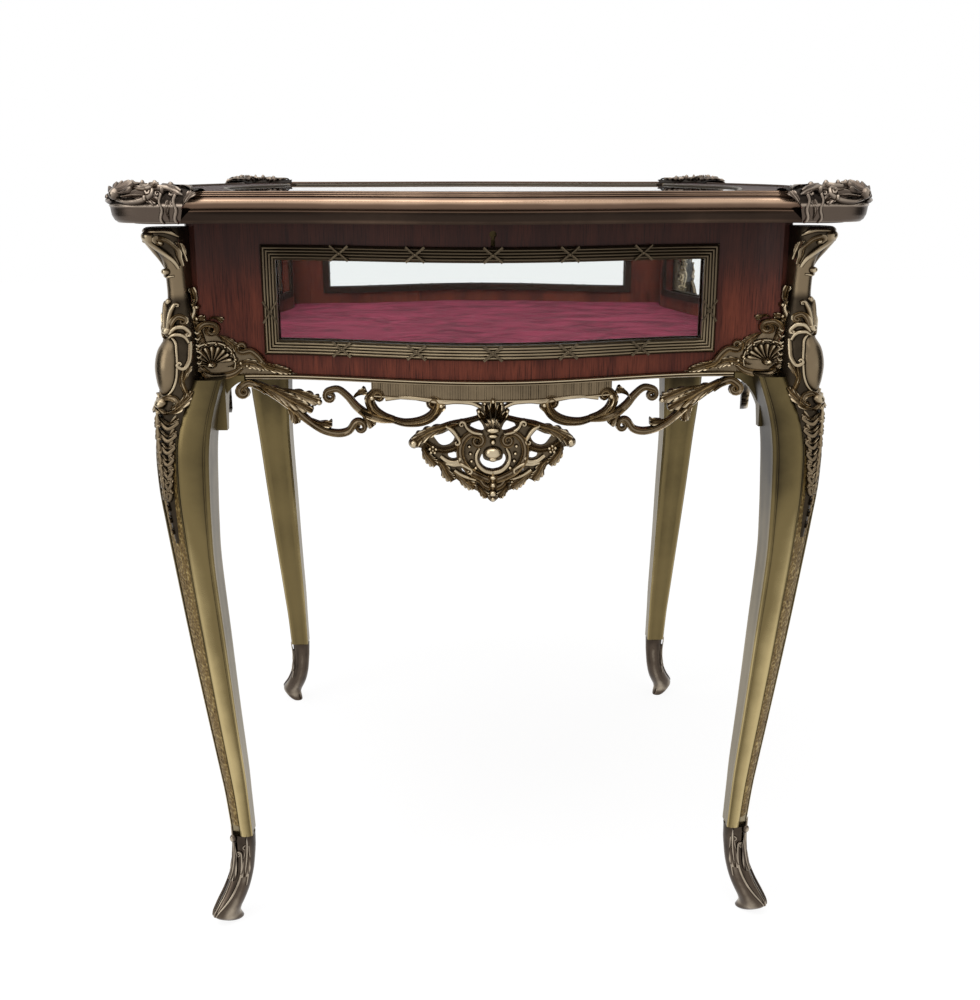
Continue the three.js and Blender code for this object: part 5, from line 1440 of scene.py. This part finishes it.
def dark_cards():
    """Dark screens out of the picture, which the brass reflects."""
    material, wiring, shader = new_material("dark card")
    cloud = wiring.noise(wiring.place(), 2.0)
    wiring.feed(shader, {
        "Base Color": wiring.mixed(cloud, (0.02, 0.02, 0.02, 1), (0.035, 0.032, 0.03, 1)),
        "Roughness": 0.9})
    for name, place, turn, size in (
            ("left_card", (-1.7, -0.2, 0.75), (0, math.pi / 2, 0), (1.5, 1.1)),
            ("right_card", (1.7, -0.2, 0.75), (0, math.pi / 2, 0), (1.5, 1.1)),
            ("rear_card", (0, 1.9, 1.5), (math.pi / 2, 0, 0), (2.6, 0.9))):
        bpy.ops.mesh.primitive_plane_add(size=1)
        card = bpy.context.object
        card.name = name
        card.location = place
        card.rotation_euler = turn
        card.scale = (*size, 1)
        card.visible_camera = False
        card.data.materials.append(material)


def lamp(name, place, aim, size, power):
    data = bpy.data.lights.new(name, "AREA")
    data.shape = "RECTANGLE"
    data.size, data.size_y = size
    data.energy = power
    item = bpy.data.objects.new(name, data)
    bpy.context.scene.collection.objects.link(item)
    item.location = place
    x, y, z = np.subtract(aim, place)
    item.rotation_euler = (math.atan2(math.hypot(x, y), -z), 0, math.atan2(y, x) - math.pi / 2)


def daylight():
    """A soft white room, brighter to the camera than to what it lights."""
    world = bpy.data.worlds.new("white room")
    bpy.context.scene.world = world
    world.use_nodes = True
    world.node_tree.nodes.clear()
    wiring = Wiring(world.node_tree)
    soft, white = (wiring.node("ShaderNodeBackground", {"Color": (1, 1, 1, 1), "Strength": strength})
                   for strength in (0.55, 1.0))
    shown = wiring.layered(wiring.seen(), soft.outputs[0], white.outputs[0])
    wiring.node("ShaderNodeOutputWorld", {"Surface": shown})


def camera():
    """The photograph's camera, as it was fitted to the table's outlines."""
    picture_height, focal_length = 1000, 1201
    data = bpy.data.cameras.new("camera")
    data.sensor_fit = "VERTICAL"
    data.sensor_height = 36.0
    data.lens = data.sensor_height * focal_length / picture_height
    item = bpy.data.objects.new("camera", data)
    item.location = (-0.041, -1.400, 0.773)
    item.rotation_euler = (math.radians(90 - 15.55), 0, math.radians(-2.01))
    bpy.context.scene.collection.objects.link(item)
    bpy.context.scene.camera = item


plain_floor()
dark_cards()
daylight()
lamp("overhead", (-0.4, -0.6, 2.6), (0, 0, 0.5), (2.4, 2.0), 32)
lamp("left_window", (-2.2, -1.4, 1.4), (0, 0, 0.4), (1.4, 1.8), 14)
camera()
bpy.context.scene.view_settings.view_transform = "Standard"
